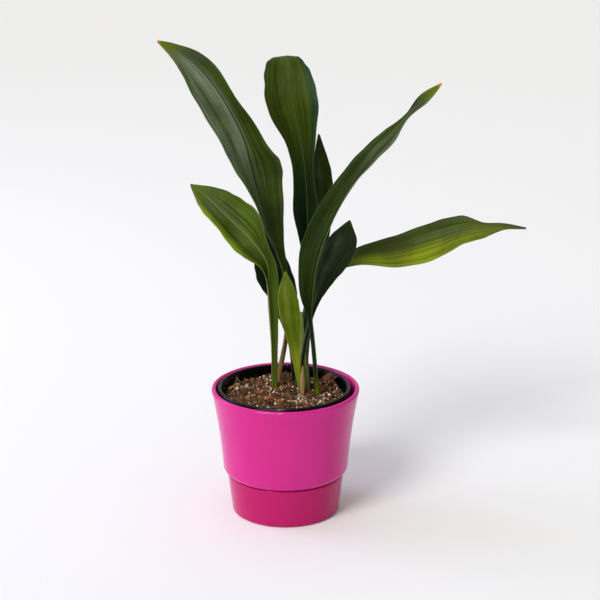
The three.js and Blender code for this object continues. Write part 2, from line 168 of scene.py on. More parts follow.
# Each leaf is grown along its midrib from the foot in the mix to the tip. Its row holds its traits, its
# sRGB colours and its knots. stalk is the thickness of its midrib at the foot. cup is the radius of the
# curve across the blade, and wave the height, the number and the phase of the ripples along its edges.
# Over the width, split is where the left half's colour turns into the right half's; the two colours are
# painted light and shade, the half turned to the light painted lighter. Over the length, shade_to and
# foot_to are where the lower blade's painted shade and light and the foot's colours end. sheen_amount is
# how much silvery painted sheen the blade has. base and stalk have a colour for the
# left half and one for the right, a lit and a shaded one. A knot holds
# the midrib's x, y and z, the way the upper face looks (turn about the vertical from the front towards
# the right, and lift above the level), the half widths left and right of the midrib and the angle by
# which each half of the blade is folded up from it.
TRAITS = ("stalk", "cup", "wave", "split", "sheen_amount", "shade_to", "foot_to")
TONES = ("left", "right", "base", "rib", "stalk", "foot", "tip", "spot")
LEAF_ROWS = {
    "leaf_tall_left": (
        (3, 90, (1.6, 4, 0.1), (0.47, 0.53), 0.55, (0.4, 0.7), (0.14, 0.24)),
        ("4e5c3a", "35440e", ("4a5a34", "2e3c0c"), "222f0a", ("4a5c1a", "3c4f12"), "80603a", "6d7a10",
         "b5752a"),
        ((-6, 40, 101, 0, 0, 1.7, 1.7, 40), (-6, 40, 128, 0, 0, 1.7, 1.7, 40),
         (0, 38, 168, 10, 0, 1.8, 1.8, 45), (2, 36, 207, 20, 0, 2.2, 2.2, 50),
         (-1, 33, 240, 40, 0, 3.5, 3.5, 50), (-9, 28, 268, 46, 0, 7, 8, 45),
         (-19, 22, 297, 42, 5, 14, 16.5, 40), (-29, 12, 338, 36, 10, 25.5, 27.5, 34),
         (-34.5, 8, 363, 20, 11, 26, 30.5, 31), (-41, 3.5, 390, 2, 12, 26, 20, 28),
         (-60, -4, 430, -23, 10, 25, 26, 36), (-82, -9, 460, -16, 12, 20, 18.5, 30),
         (-104, -12, 478, -10, 16, 9.5, 6.5, 28), (-121, -14, 487, 0, 20, 0.8, 0.8, 20)),
    ),
    "leaf_broad_back": (
        (3.8, 120, (2, 5, 0.3), (0.76, 0.96), 0.05, (0.4, 0.68), (0.1, 0.17)),
        ("344102", "1f3a22", ("0a1d04", "14260c"), "4c5a24", ("24380c", "24380c"), "3b4a14", "525d2c",
         "525d2c"),
        ((23, 14, 101, 0, 0, 2.4, 2.4, 40), (23, 14, 126, 0, 0, 2.4, 2.4, 40),
         (20, 17, 170, 0, 0, 2.3, 2.3, 45), (22, 22, 228, 0, 0, 2.6, 2.6, 50),
         (23, 26, 269, 0, 0, 8.5, 7, 45), (22, 28, 310, 5, 0, 17.5, 11, 30),
         (20, 30, 346, 5, 5, 13.5, 8.5, 25), (16, 33, 376, 0, 10, 15.5, 15, 20),
         (9, 38, 412, -5, 20, 26, 26, 12), (5.5, 45, 436, -3, 38, 26.5, 22.5, 2),
         (4, 54, 450, 0, 58, 23, 17, -4), (3, 66, 456.5, 0, 76, 16, 12, -8),
         (2, 82, 453, 0, 96, 10.5, 8, -10), (1, 108, 438, 0, 110, 0.8, 0.8, -6)),
    ),
    "leaf_twisted_right": (
        (3, 70, (1.2, 4, 0.6), (0.66, 0.9), 0.22, (0.35, 0.6), (0.085, 0.125)),
        ("293905", "50563f", ("213104", "151f04"), "33460e", ("16290a", "16290a"), "5f7010", "66780c",
         "c98a2a"),
        ((32, -3, 101, 0, 0, 1.7, 1.7, 40), (32, -3, 126, 0, 0, 1.7, 1.7, 40),
         (28, -4, 177, -10, 0, 1.7, 1.7, 45), (25, -5, 210, -20, 0, 3.2, 3.2, 50),
         (25, -6, 236, -30, 0, 11, 11, 45), (32, -8, 276, -40, 5, 16, 16, 42),
         (49, -10, 317, -48, 5, 17, 17, 42), (71, -14, 353, -55, 10, 14.5, 14, 40),
         (88, -18, 378, -56, 10, 12, 9, 18), (103, -21, 397, -50, 10, 8, 12, 22),
         (117, -24, 415, -40, 10, 3, 2.5, 35), (134, -28, 433, -20, 20, 6.5, 4, 20),
         (149, -30, 449, 0, 20, 0.8, 0.8, 10)),
    ),
    "leaf_arching_right": (
        (3, 150, (1.2, 4, 0.2), (0.42, 0.7), 0.1, (0.62, 0.86), (0.1, 0.17)),
        ("3b460a", "4f5c0f", ("3c4711", "6a760e"), "47550f", ("33441a", "33441a"), "3f4c1a", "434b26",
         "4a4228"),
        ((12, 16, 101, 0, 0, 1.8, 1.8, 40), (12, 16, 126, 0, 0, 1.8, 1.8, 40),
         (15, 29, 169, 0, 0, 1.8, 1.8, 45), (23, 36, 210, -10, 10, 2.4, 2.4, 45),
         (39, 40, 238, -20, 35, 5, 5, 35), (73, 44, 255, -15, 50, 9, 13, 10),
         (109, 45, 261, -5, 55, 17, 21.5, 0), (148, 43, 273, 0, 50, 20.5, 24, -4),
         (179, 38, 284, 0, 50, 19, 15, -4), (199, 36, 288, 0, 50, 6.5, 13, 0),
         (220, 33, 290, 0, 50, 4, 4, 0), (242, 30, 289, 0, 50, 0.8, 0.8, 0)),
    ),
    "leaf_dark_right": (
        (3.2, 60, (0.8, 2, 0), (0.46, 0.56), 0.12, (0.55, 0.75), (0.1, 0.17)),
        ("1b2b10", "27331c", ("0e1c08", "1a2612"), "2a3a1c", ("3a4a30", "202c16"), "2e3a1f", "2c381a",
         "3c4024"),
        ((18, 4, 101, 0, 0, 1.7, 1.7, 40), (18, 4, 126, 0, 0, 1.7, 1.7, 40),
         (17, 5, 157, 0, 0, 1.7, 1.7, 45), (24, 8, 197, 10, 0, 2.2, 2.2, 45),
         (29, 12, 216, 15, 0, 4, 4, 30), (36, 15, 236, 15, 0, 9, 9, 20),
         (47, 19, 260, 15, 0, 16.5, 16.5, 12), (58, 24, 279, 10, 0, 15, 15, 8),
         (65, 29, 298, 5, 0, 0.8, 0.8, 5)),
    ),
    "leaf_pale_left": (
        (3.6, 90, (1.2, 3, 0.4), (0.02, 0.22), 0.12, (0.5, 0.7), (0.1, 0.15)),
        ("7d9214", "425412", ("617610", "3a4e10"), "77893f", ("6d7a34", "465a12"), "66720e", "56641a",
         "56641a"),
        ((-11, 16, 101, 0, 0, 2.3, 2.3, 40), (-11, 16, 126, 0, 0, 2.4, 2.4, 40),
         (-12.5, 14, 171, 16, 0, 3.6, 4.6, 55), (-15, 12, 210, 24, 0, 5, 8.5, 60),
         (-17, 12, 241, 24, 0, 6, 11, 58), (-20, 17, 262, -6, 8, 18, 16, 50),
         (-37, 32, 280, -8, 32, 25, 25, 28), (-58, 45, 297, 0, 48, 25, 24, 28),
         (-76, 57, 312, -10, 40, 15, 15, 18), (-96, 69, 325, -10, 30, 0.8, 0.8, 10)),
    ),
    "leaf_rear": (
        (3.2, 80, (0.8, 2, 0.5), (0.46, 0.56), 0.08, (0.5, 0.7), (0.1, 0.17)),
        ("243005", "293504", ("1c2a06", "1c2a06"), "2f3c10", ("26330e", "26330e"), "30380f", "2f3a10",
         "44481c"),
        ((20, 40, 101, 0, 0, 2.1, 2.1, 40), (20, 40, 126, 0, 0, 2.1, 2.1, 40),
         (24, 46, 179, 0, 0, 2.1, 2.1, 45), (31, 50, 231, 0, 0, 3, 3, 45), (38, 54, 278, 0, 0, 9, 8, 35),
         (39, 56, 314, 0, 0, 12, 11, 25), (37, 58, 345, 0, 0, 10, 9, 15), (34, 61, 379, 0, 0, 0.8, 0.8, 10)),
    ),
    "leaf_young_front": (
        (3, 30, (0.5, 2, 0), (0.46, 0.56), 0.1, (0.34, 0.7), (0.19, 0.27)),
        ("66780a", "526408", ("76881a", "62740c"), "55600c", ("98a02c", "7e8a1c"), "9a6a26", "5f6a12",
         "6d7a22"),
        ((16, -3, 101, 0, 0, 1.5, 1.5, 40), (15.5, -3, 126, 0, 0, 1.5, 1.5, 40),
         (13, -4, 148, 0, 0, 3.2, 2.8, 45), (9.5, -6, 178, 0, 0, 7, 6.5, 40),
         (5, -10, 211, 0, 0, 12, 12, 28), (2, -12, 235, 0, 0, 10, 10, 22),
         (0, -12, 257, 0, 0, 0.8, 0.8, 15)),
    ),
    "leaf_dark_left": (
        (3.2, 70, (0.8, 2, 0.3), (0.46, 0.56), 0.08, (0.4, 0.6), (0.1, 0.17)),
        ("0f1d0a", "122417", ("0b1808", "0b1808"), "1a2c12", ("10200c", "10200c"), "1d2a12", "2c3a1c",
         "3c4024"),
        ((9, 33, 101, 0, 0, 2, 2, 40), (9, 33, 126, 0, 0, 2, 2, 40), (6, 42, 162, 0, 0, 3, 3, 45),
         (1, 53, 204, 0, 0, 17, 15, 35), (-8, 59, 238, 0, 0, 25, 15, 20), (-21, 64, 267, 0, 10, 14, 8, 15),
         (-38, 71, 297, 0, 15, 0.8, 0.8, 10)),
    ),
}
LEAVES = {
    name: {**dict(zip(TRAITS, traits)), "colours": dict(zip(TONES, codes)), "knots": knots}
    for name, (traits, codes, knots) in LEAF_ROWS.items()}

# The papery bracts that wrap the stalks where they leave the mix: the radius of the curve across, the
# light and the dark colour, and knots like a leaf's
SHEATH_STALK = 0.9
SHEATHS = {
    "sheath_green": (
        3.4, ("77892f", "8f9a52"),
        ((21, 7.1, 108, 160, 0, 2.6, 2.6, 0), (21, 7.1, 128, 160, 0, 3.4, 3.4, 0),
         (17, 10.6, 165, 160, 0, 3.4, 3.4, 0), (15.5, 14.6, 190, 160, 0, 2.8, 2.8, 0),
         (16, 16.6, 206, 160, 0, 0.8, 0.8, 0)),
    ),
    "sheath_dry": (
        3.2, ("bda06a", "6b4b28"),
        ((17, -8, 108, 180, 0, 0.9, 0.9, 0), (17, -8, 122, 180, 0, 1, 1, 0),
         (17, -7.8, 136, 180, 0, 2.1, 2.1, 0), (17.4, -6.8, 156, 180, 0, 0.4, 0.4, 0)),
    ),
    "sheath_tan": (
        3.4, ("a3814e", "6e4c28"),
        ((-7, 36, 108, 180, 0, 1.8, 1.8, 0), (-7, 36, 128, 180, 0, 2.2, 2.2, 0),
         (-3.5, 35, 150, 180, 0, 1.9, 1.9, 0), (-0.5, 34.5, 172, 180, 0, 0.6, 0.6, 0)),
    ),
}

# Stage, in metres: how far the floor reaches each way, and the point that the lamps face
FLOOR_REACH = 9
LAMP_AIM = (0, 0, 0.22)


class PotLook(bpy.types.PropertyGroup):
    """Colours and finish of the two pots."""

    glaze: bpy.props.StringProperty(
        name="Glaze", description="sRGB colour of the glaze on the flared wall", default="d02488")
    # The band's colour is the glaze painted darker, as painted shade and a painted dark reflection on the
    # downward-facing foot band
    band_glaze_painted_shade: bpy.props.StringProperty(
        name="Band glaze", description="sRGB colour of the foot band's glaze, painted darker as shade",
        default="b80862")
    sides: bpy.props.IntProperty(
        name="Sides", description="Facets round each pot", default=160, min=32)
    plastic: bpy.props.StringProperty(
        name="Plastic", description="sRGB colour of the nursery pot", default="040506")


class MixLook(bpy.types.PropertyGroup):
    """What the potting mix is made of."""

    chips: bpy.props.IntProperty(
        name="Bark chips", description="Chips of bark on the surface", default=1100, min=0)
    crumbs: bpy.props.IntProperty(
        name="Crumbs", description="Crumbs of bark and coir between the chips", default=3400, min=0)
    perlite: bpy.props.IntProperty(
        name="Perlite", description="Grains of expanded perlite on the surface", default=400, min=0)
    fibres: bpy.props.IntProperty(
        name="Coir fibres", description="Loose coconut fibres on the surface", default=260, min=0)
    grain: bpy.props.FloatProperty(
        name="Perlite grain", description="Mean diameter of a grain", default=2.8 * MM, unit="LENGTH")


class LeafLook(bpy.types.PropertyGroup):
    """How finely the leaves are drawn."""

    stations: bpy.props.IntProperty(
        name="Stations", description="Sections along each leaf", default=110, min=20)
    columns: bpy.props.IntProperty(
        name="Columns", description="Strips across each face, an even number", default=48, min=8)
    pleat: bpy.props.FloatProperty(
        name="Pleats", description="Depth of the lengthwise pleats", default=0.16 * MM, unit="LENGTH")
    veins: bpy.props.IntProperty(
        name="Veins", description="Fine parallel veins across the blade", default=44, min=4)


class StageLook(bpy.types.PropertyGroup):
    """Camera, floor and light."""

    distance: bpy.props.FloatProperty(
        name="Distance", description="Camera in front of the pot's axis", default=1.87, unit="LENGTH")
    height: bpy.props.FloatProperty(
        name="Height", description="Camera above the floor", default=0.823, unit="LENGTH")
    pitch: bpy.props.FloatProperty(
        name="Pitch", description="Camera's look below the level", default=math.radians(17.77),
        subtype="ANGLE")
    yaw: bpy.props.FloatProperty(
        name="Yaw", description="Camera's turn to the right", default=math.radians(0.45), subtype="ANGLE")
    lens: bpy.props.FloatProperty(
        name="Lens", description="Focal length on a 36 mm sensor", default=117.96, unit="CAMERA")
    floor: bpy.props.StringProperty(
        name="Floor", description="sRGB colour of the matt floor", default="f1f1f0")
    key: bpy.props.FloatProperty(
        name="Key light", description="Strength of the window light from the front left", default=1.95)
    top: bpy.props.FloatProperty(
        name="Top light", description="Strength of the wide light from above", default=0.55)
    glint: bpy.props.FloatProperty(
        name="Glint", description="Power of the lamp that only the pots' gloss shows", default=60,
        unit="POWER")
    back: bpy.props.FloatProperty(
        name="Back light", description="Power of the cool light behind on the left", default=13,
        unit="POWER")


def linear(code):
    """Turns an sRGB hex colour into linear red, green, blue and alpha."""
    shares = [int(code[i:i + 2], 16) / 255 for i in (0, 2, 4)]
    return (*(s / 12.92 if s <= 0.04045 else ((s + 0.055) / 1.055) ** 2.4 for s in shares), 1.0)


def add_node(tree, kind, inputs=None, stops=None, **settings):
    """Adds one shader node with its settings, its ramp stops and its inputs, linked or filled. A node
    given as an input stands for its first live output."""
    node = tree.nodes.new("ShaderNode" + kind)
    for key, value in settings.items():
        setattr(node, key, value)
    for index, (place, code) in enumerate(stops or []):
        element = node.color_ramp.elements[index] if index < 2 else node.color_ramp.elements.new(place)
        element.position = place
        element.color = linear(code)
    for socket, value in (inputs or {}).items():
        if isinstance(value, bpy.types.Node):
            value = next(output for output in value.outputs if output.enabled)
        if isinstance(value, bpy.types.NodeSocket):
            tree.links.new(value, node.inputs[socket])
        else:
            node.inputs[socket].default_value = value
    return node


def new_material(name):
    """Starts an empty node material, and gives it with the function that adds nodes to it."""
    material = bpy.data.materials.new(name)
    material.use_nodes = True
    material.node_tree.nodes.clear()
    return material, partial(add_node, material.node_tree)


def finished(material, add, height, relief, inputs):
    """The material, closed with a bump of so many millimetres and its Principled shader."""
    bump = add("Bump", {"Height": height, "Distance": relief * MM, "Strength": 1.0})
    shader = add("BsdfPrincipled", {**inputs, "Normal": bump})
    add("OutputMaterial", {"Surface": shader})
    return material


def grained(name, grain, detail, stops, roughness, relief):
    """A dull material whose one grain, so many millimetres wide, gives both its tones and its relief."""
    material, add = new_material(name)
    place = add("TexCoord").outputs["Object"]
    grains = add("TexNoise", {"Vector": place, "Scale": 1 / (grain * MM), "Detail": detail})
    tone = add("ValToRGB", {"Fac": grains}, stops)
    return finished(material, add, grains, relief, {"Base Color": tone, "Roughness": roughness})


def glazed_earthenware(look):
    """Slip-cast earthenware under a pink gloss glaze: deep even colour and sharp reflections over a
    ripple 14 mm wide. The foot band below the seam is painted a darker pink, as painted shade where it faces
    down and a painted dark reflection of what the pot stands on. The few pinholes of 0.4 mm are drawn 0.7 mm
    wide so that they show."""
    material, add = new_material("glazed earthenware, pink")
    place = add("TexCoord").outputs["Object"]
    height = add("SeparateXYZ", {"Vector": place}).outputs["Z"]
    # Below the seam the darker band colour takes over: painted shade and a painted dark reflection on the
    # foot band, which faces down
    above_seam = add("MapRange", {
        "Value": height, "From Min": (BAND_HEIGHT - 0.6) * MM, "From Max": (BAND_HEIGHT + 3) * MM})
    band, wall = linear(look.band_glaze_painted_shade), linear(look.glaze)
    glaze = add("Mix", {0: above_seam, 6: band, 7: wall}, data_type="RGBA")
    clouds = add("TexNoise", {"Vector": place, "Scale": 1 / (36 * MM), "Detail": 3.0})
    clouding = add("MapRange", {
        "Value": clouds, "From Min": 0.3, "From Max": 0.7, "To Min": 0.0, "To Max": 0.09})
    clouded = add("Mix", {0: clouding, 6: glaze, 7: linear("a01058")}, data_type="RGBA")

    # A pinhole sits at the middle of some of the cells of a loose net
    cell_width, hole_radius, holed = 22, 0.352, 0.3
    cells = add("TexVoronoi", {"Vector": place, "Scale": 1 / (cell_width * MM)})
    hole = add("Math", {0: cells, 1: hole_radius / cell_width}, operation="LESS_THAN")
    lot = add("SeparateColor", {"Color": cells.outputs["Color"]})
    drawn = add("Math", {0: lot, 1: 1 - holed}, operation="GREATER_THAN")
    pinholes = add("Math", {0: hole, 1: drawn}, operation="MULTIPLY")
    colour = add("Mix", {0: pinholes, 6: clouded, 7: linear("5a1538")}, data_type="RGBA")
    ripple = add("TexNoise", {"Vector": place, "Scale": 1 / (14 * MM), "Detail": 1.0})
    return finished(material, add, ripple, 0.03, {
        "Base Color": colour, "Roughness": 0.06, "IOR": 1.5, "Specular IOR Level": 0.25})


def biscuit_earthenware():
    """Bare fired clay on the underside, wiped clean of glaze: dry, buff and slightly gritty. Its grit of
    0.2 mm is drawn at 0.8 mm so that it shows."""
    return grained("biscuit earthenware", 0.8, 4.0, [(0.3, "b59c84"), (0.7, "d6c4ad")], 0.9, 0.08)


def moulded_polypropylene(look):
    """Black polypropylene from a spark-eroded mould: a low sheen over its fine grain, dulled by dust and
    splashes of mix where it faces up. The grain of 0.1 mm is drawn at 0.9 mm so that it shows."""
    material, add = new_material("polypropylene, moulded black")
    place = add("TexCoord").outputs["Object"]
    grain = add("TexNoise", {"Vector": place, "Scale": 1 / (0.9 * MM), "Detail": 2.0})
    smears = add("TexNoise", {"Vector": place, "Scale": 1 / (11 * MM), "Detail": 5.0})
    normal = add("NewGeometry").outputs["Normal"]
    facing_up = add("SeparateXYZ", {"Vector": normal}).outputs["Z"]
    level = add("Math", {0: facing_up, 1: 0.0}, operation="MAXIMUM")
    dust = add("Math", {0: smears, 1: level}, operation="MULTIPLY")
    dusty = add("MapRange", {"Value": dust, "From Min": 0.3, "From Max": 0.75, "To Max": 0.02})
    colour = add("Mix", {0: dusty, 6: linear(look.plastic), 7: linear("6e6459")}, data_type="RGBA")
    return finished(material, add, grain, 0.03, {
        "Base Color": colour, "Roughness": 0.17, "IOR": 1.49, "Specular IOR Level": 0.15})


def damp_coir_painted_shade():
    """The fine part of the mix, coir dust in crumbs of 2.4 mm: soft and without any shine, dark as damp
    coir and darker still as painted shade between the chips.
    """
    # Tones darker than damp coir alone: painted shade where the mix shows between the chips
    return grained("coir dust, damp, with painted shade", 2.4, 6.0,
                   [(0.35, "100804"), (0.6, "301c0a"), (0.75, "50331a")], 0.95, 0.7)


def composted_bark():
    """Screened pine bark: each chip its own brown, from black humus to reddish cork, with a torn grain
    of 1.1 mm."""
    material, add = new_material("pine bark, composted")
    place = add("TexCoord").outputs["Object"]
    chip = add("Attribute", attribute_name="tone").outputs["Fac"]
    own = add("ValToRGB", {"Fac": chip}, [
        (0.0, "1a0e06"), (0.25, "42260f"), (0.5, "6d421f"), (0.75, "985f2e"), (1.0, "bf8645")])
    tear = add("TexNoise", {"Vector": place, "Scale": 1 / (1.1 * MM), "Detail": 4.0})
    shade = add("MapRange", {
        "Value": tear, "From Min": 0.35, "From Max": 0.65, "To Min": 0.55, "To Max": 1.2})
    colour = add("Mix", {0: 1.0, 6: own, 7: shade}, data_type="RGBA", blend_type="MULTIPLY")
    return finished(material, add, tear, 0.35, {"Base Color": colour, "Roughness": 0.85})


def expanded_perlite():
    """Volcanic glass popped by heat: bright off-white foam, stained by the mix here and there. Its
    bubbles of 0.2 mm are drawn at 0.7 mm so that they show."""
    material, add = new_material("perlite, expanded")
    place = add("TexCoord").outputs["Object"]
    grain = add("Attribute", attribute_name="tone").outputs["Fac"]
    own = add("ValToRGB", {"Fac": grain}, [
        (0.0, "7a5f3e"), (0.35, "b0966f"), (0.7, "d6c5a8"), (1.0, "efe5d3")])
    foam = add("TexVoronoi", {"Vector": place, "Scale": 1 / (0.7 * MM)})
    stains = add("TexNoise", {"Vector": place, "Scale": 1 / (1.6 * MM), "Detail": 2.0})
    stained = add("MapRange", {"Value": stains, "From Min": 0.55, "From Max": 0.75, "To Max": 0.55})
    colour = add("Mix", {0: stained, 6: own, 7: linear("8a6a48")}, data_type="RGBA")
    return finished(material, add, foam, 0.2, {"Base Color": colour, "Roughness": 0.8})


def dry_fibre(name, dark, light):
    """Woody fibre, torn lengthwise: dull, with light and dark strands. Strands of 0.3 mm are drawn at
    2 mm so that they show."""
    return grained(name, 2, 4.0, [(0.35, dark), (0.65, light)], 0.8, 0.15)


def leaf_cuticle(name, shape, blade_from, veins):
    """A leaf's upper face under its waxy cuticle: satin, dark green, streaked by close parallel veins
    that catch the light, with a midrib, a yellower stalk and a dry tip. Light and shade are painted on it:
    one half lighter than the other, the lower blade darker as shade and on some leaves lighter as light
    shining through, silvery patches of painted sheen, a painted highlight along the edges, and a painted
    highlight on the midrib's ridge where its colour is lighter and painted shade in its groove where darker.
    The veins, 0.6 mm apart on the leaf, are drawn at about 1.2 mm so that they show."""
    material, add = new_material(name + ", upper cuticle")
    codes = shape["colours"]
    growth = add("UVMap", uv_map="growth")
    split = add("SeparateXYZ", {"Vector": growth})
    across, along = split.outputs["X"], split.outputs["Y"]
    place = add("TexCoord").outputs["Object"]
    stretched = add("VectorMath", {0: growth, 1: (veins * 0.7, 2.2, 1.0)}, operation="MULTIPLY")
    streaks = add("TexNoise", {"Vector": stretched, "Scale": 1.0, "Detail": 4.0, "Roughness": 0.7})
    drift = add("TexNoise", {"Vector": place, "Scale": 1 / (30 * MM), "Detail": 2.0})
    patches = add("VectorMath", {0: growth, 1: (3.0, 5.0, 1.0)}, operation="MULTIPLY")
    patchy = add("TexNoise", {"Vector": patches, "Scale": 1.0, "Detail": 1.0})
    turns = add("Math", {0: across, 1: math.tau * veins}, operation="MULTIPLY")
    wave = add("Math", {0: turns}, operation="SINE")
    off_centre = add("Math", {0: across, 1: 0.5}, operation="SUBTRACT")
    from_rib = add("Math", {0: off_centre}, operation="ABSOLUTE")

    # What each share follows, where it starts and ends, and what it is there
    courses = {
        "streak": (streaks, 0.32, 0.68, 0.55, 1.5),
        "drift": (drift, 0.35, 0.65, 0.82, 1.18),
        "vein": (wave, -1.0, 1.0, 0.9, 1.1),
        "gloss": (streaks, 0.3, 0.7, 0.36, 0.52),
        "right half": (across, *shape["split"], 0.0, 1.0),
        "right flank": (across, 0.44, 0.6, 0.0, 1.0),
        "upper blade": (along, *shape["shade_to"], 0.0, 1.0),
        "wax patch": (patchy, 0.36, 0.6, 0.0, shape["sheen_amount"]),
        "wax streak": (streaks, 0.36, 0.6, 0.0, 1.0),
        "wax reach": (along, 0.5, 0.82, 0.25, 1.0),
        "wax side": (across, 0.42, 0.62, 1.0, 0.3),
        "rib": (from_rib, 0.005, 0.02, 0.75, 0.0),
        "edge": (from_rib, 0.486, 0.5, 0.0, 0.2),
        "stalk": (along, blade_from - 0.1, blade_from + 0.04, 1.0, 0.0),
        "foot": (along, *shape["foot_to"], 1.0, 0.0),
        "tip": (along, 0.88, 0.975, 0.0, 0.8),
        "spot": (along, 0.982, 0.994, 0.0, 1.0),
    }
    share = {}
    for key, (value, low, high, start, end) in courses.items():
        share[key] = add("MapRange", {
            "Value": value, "From Min": low, "From Max": high, "To Min": start, "To Max": end},
            interpolation_type="SMOOTHSTEP")
    # Painted sheen: silvery patches, strongest in the streaks, high on the blade and on its left side
    painted_sheen = share["wax patch"]
    for key in ("wax streak", "wax reach", "wax side"):
        painted_sheen = add("Math", {0: painted_sheen, 1: share[key]}, operation="MULTIPLY")

    # The two halves of the upper blade, of the lower blade and of the stalk, each a lighter and a darker
    # colour: painted light and shade
    halves = (
        ("right half", codes["left"], codes["right"]), ("right half", *codes["base"]),
        # The stalk is yellower than the blade; its two flanks are a lit and a shaded colour, painted light
        # and shade
        ("right flank", *codes["stalk"]),
    )
    upper, colour, stalk = (
        add("Mix", {0: share[key], 6: linear(left), 7: linear(right)}, data_type="RGBA")
        for key, left, right in halves)
    # The colour starts as the lower blade's, painted shade that is lighter on some leaves as painted light
    # shining through; the upper blade's colour takes over along shade_to
    layers = (
        (share["upper blade"], upper, "MIX"),
        (1.0, share["streak"], "MULTIPLY"),
        (1.0, share["vein"], "MULTIPLY"),
        (1.0, share["drift"], "MULTIPLY"),
        # painted sheen in silver-grey
        (painted_sheen, linear("9aa391"), "MIX"),
        # The midrib's line: a painted highlight on its ridge where its colour is lighter, painted shade in
        # its groove where darker
        (share["rib"], linear(codes["rib"]), "MIX"),
        (share["stalk"], stalk, "MIX"),
        # A painted highlight along the blade's edges, pale grey-green
        (share["edge"], linear("97a266"), "MIX"),
        (share["foot"], linear(codes["foot"]), "MIX"),
        (share["tip"], linear(codes["tip"]), "MIX"),
        (share["spot"], linear(codes["spot"]), "MIX"),
    )
    for part, tone, how in layers:
        colour = add("Mix", {0: part, 6: colour, 7: tone}, data_type="RGBA", blend_type=how)
    relief = add("Math", {0: share["vein"], 1: streaks}, operation="ADD")
    return finished(material, add, relief, 0.14, {
        "Base Color": colour, "Roughness": share["gloss"], "IOR": 1.42, "Specular IOR Level": 0.1})


def leaf_underside(name, colours, veins):
    """A leaf's lower face: paler and duller than the upper, with its veins standing proud. They are
    drawn as coarse as on the upper face."""
    material, add = new_material(name + ", underside")
    growth = add("UVMap", uv_map="growth")
    stretched = add("VectorMath", {0: growth, 1: (veins, 2.0, 1.0)}, operation="MULTIPLY")
    streaks = add("TexNoise", {"Vector": stretched, "Scale": 1.0, "Detail": 3.0})
    paler = add("Mix", {0: 0.3, 6: linear(colours["right"]), 7: linear("6c7f3e")}, data_type="RGBA")
    lit = add("MapRange", {
        "Value": streaks, "From Min": 0.3, "From Max": 0.7, "To Min": 0.6, "To Max": 1.3})
    colour = add("Mix", {0: 1.0, 6: paler, 7: lit}, data_type="RGBA", blend_type="MULTIPLY")
    return finished(material, add, streaks, 0.15, {
        "Base Color": colour, "Roughness": 0.55, "IOR": 1.42, "Specular IOR Level": 0.15})


def papery_bract(name, light, dark):
    """A dried bract: thin, matt and parchment-like, streaked along its fibres, which are drawn 14 to the
    width so that they show."""
    material, add = new_material(name + ", dried bract")
    growth = add("UVMap", uv_map="growth")
    stretched = add("VectorMath", {0: growth, 1: (14.0, 1.5, 1.0)}, operation="MULTIPLY")
    fibres = add("TexNoise", {"Vector": stretched, "Scale": 1.0, "Detail": 4.0})
    tone = add("ValToRGB", {"Fac": fibres}, [(0.4, dark), (0.58, light)])
    return finished(material, add, fibres, 0.2, {"Base Color": tone, "Roughness": 0.75})


def matt_floor(look):
    """A pale painted floor, rolled: matt and even, with a low stipple. The roller's stipple of 1 mm is
    drawn at 3 mm."""
    material, add = new_material("emulsion paint, matt pale")
    place = add("TexCoord").outputs["Object"]
    stipple = add("TexNoise", {"Vector": place, "Scale": 1 / (3 * MM), "Detail": 2.0})
    return finished(material, add, stipple, 0.02, {"Base Color": linear(look.floor), "Roughness": 0.85})


def mesh_object(name, vertices, faces, materials, slots=None, growth=None, tones=None, smooth=True):
    """Makes an object from arrays in millimetres, with its materials and its surface coordinates."""
    mesh = bpy.data.meshes.new(name)
    mesh.from_pydata((np.asarray(vertices) * MM).tolist(), [], faces)
    for material in materials:
        mesh.materials.append(material)
    if slots is not None:
        mesh.polygons.foreach_set("material_index", slots)
    if growth is not None:
        layer = mesh.uv_layers.new(name="growth")
        corners = np.empty(len(mesh.loops), dtype=np.int32)
        mesh.loops.foreach_get("vertex_index", corners)
        layer.data.foreach_set("uv", np.asarray(growth, dtype=np.float32)[corners].ravel())
    if tones is not None:
        mesh.attributes.new("tone", "FLOAT", "POINT").data.foreach_set("value", tones)
    mesh.polygons.foreach_set("use_smooth", [smooth] * len(mesh.polygons))
    mesh.validate()
    mesh.update()
    piece = bpy.data.objects.new(name, mesh)
    bpy.context.scene.collection.objects.link(piece)
    return piece


def settle(piece, slot, *nodes):
    """Ties a piece to the object and hides the solids that it stands for. The finish given as slot is not
    used.
    """
    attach(piece, BODY)
    if nodes:
        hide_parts(*nodes)


def arc_points(centre_r, centre_z, radius, start, stop, steps):
    """Points of a circular arc, from one angle in degrees to another."""
    angles = np.radians(np.linspace(start, stop, steps + 1))
    return [(centre_r + radius * math.cos(a), centre_z + radius * math.sin(a)) for a in angles]


def bend_points(start, pull, end, steps):
    """Points of a quadratic curve from start to end, bent towards pull."""
    shares = np.linspace(0, 1, steps + 1)[:, None]
    start, pull, end = np.array(start), np.array(pull), np.array(end)
    points = (1 - shares) ** 2 * start + 2 * shares * (1 - shares) * pull + shares ** 2 * end
    return [tuple(p) for p in points]


def turned(outline, sides):
    """Vertices and faces of a turned body whose outline starts and ends on the axis."""
    vertices, rings = [], []
    angles = np.linspace(0, math.tau, sides, endpoint=False)
    for radius, height in outline:
        if radius == 0:
            rings.append([len(vertices)] * sides)
            vertices.append((0, 0, height))
        else:
            rings.append(list(range(len(vertices), len(vertices) + sides)))
            vertices += [(radius * math.cos(a), radius * math.sin(a), height) for a in angles]
    faces = []
    for lower, upper in zip(rings, rings[1:]):
        for j in range(sides):
            k = (j + 1) % sides
            faces.append(list(dict.fromkeys((lower[j], lower[k], upper[k], upper[j]))))
    return vertices, faces


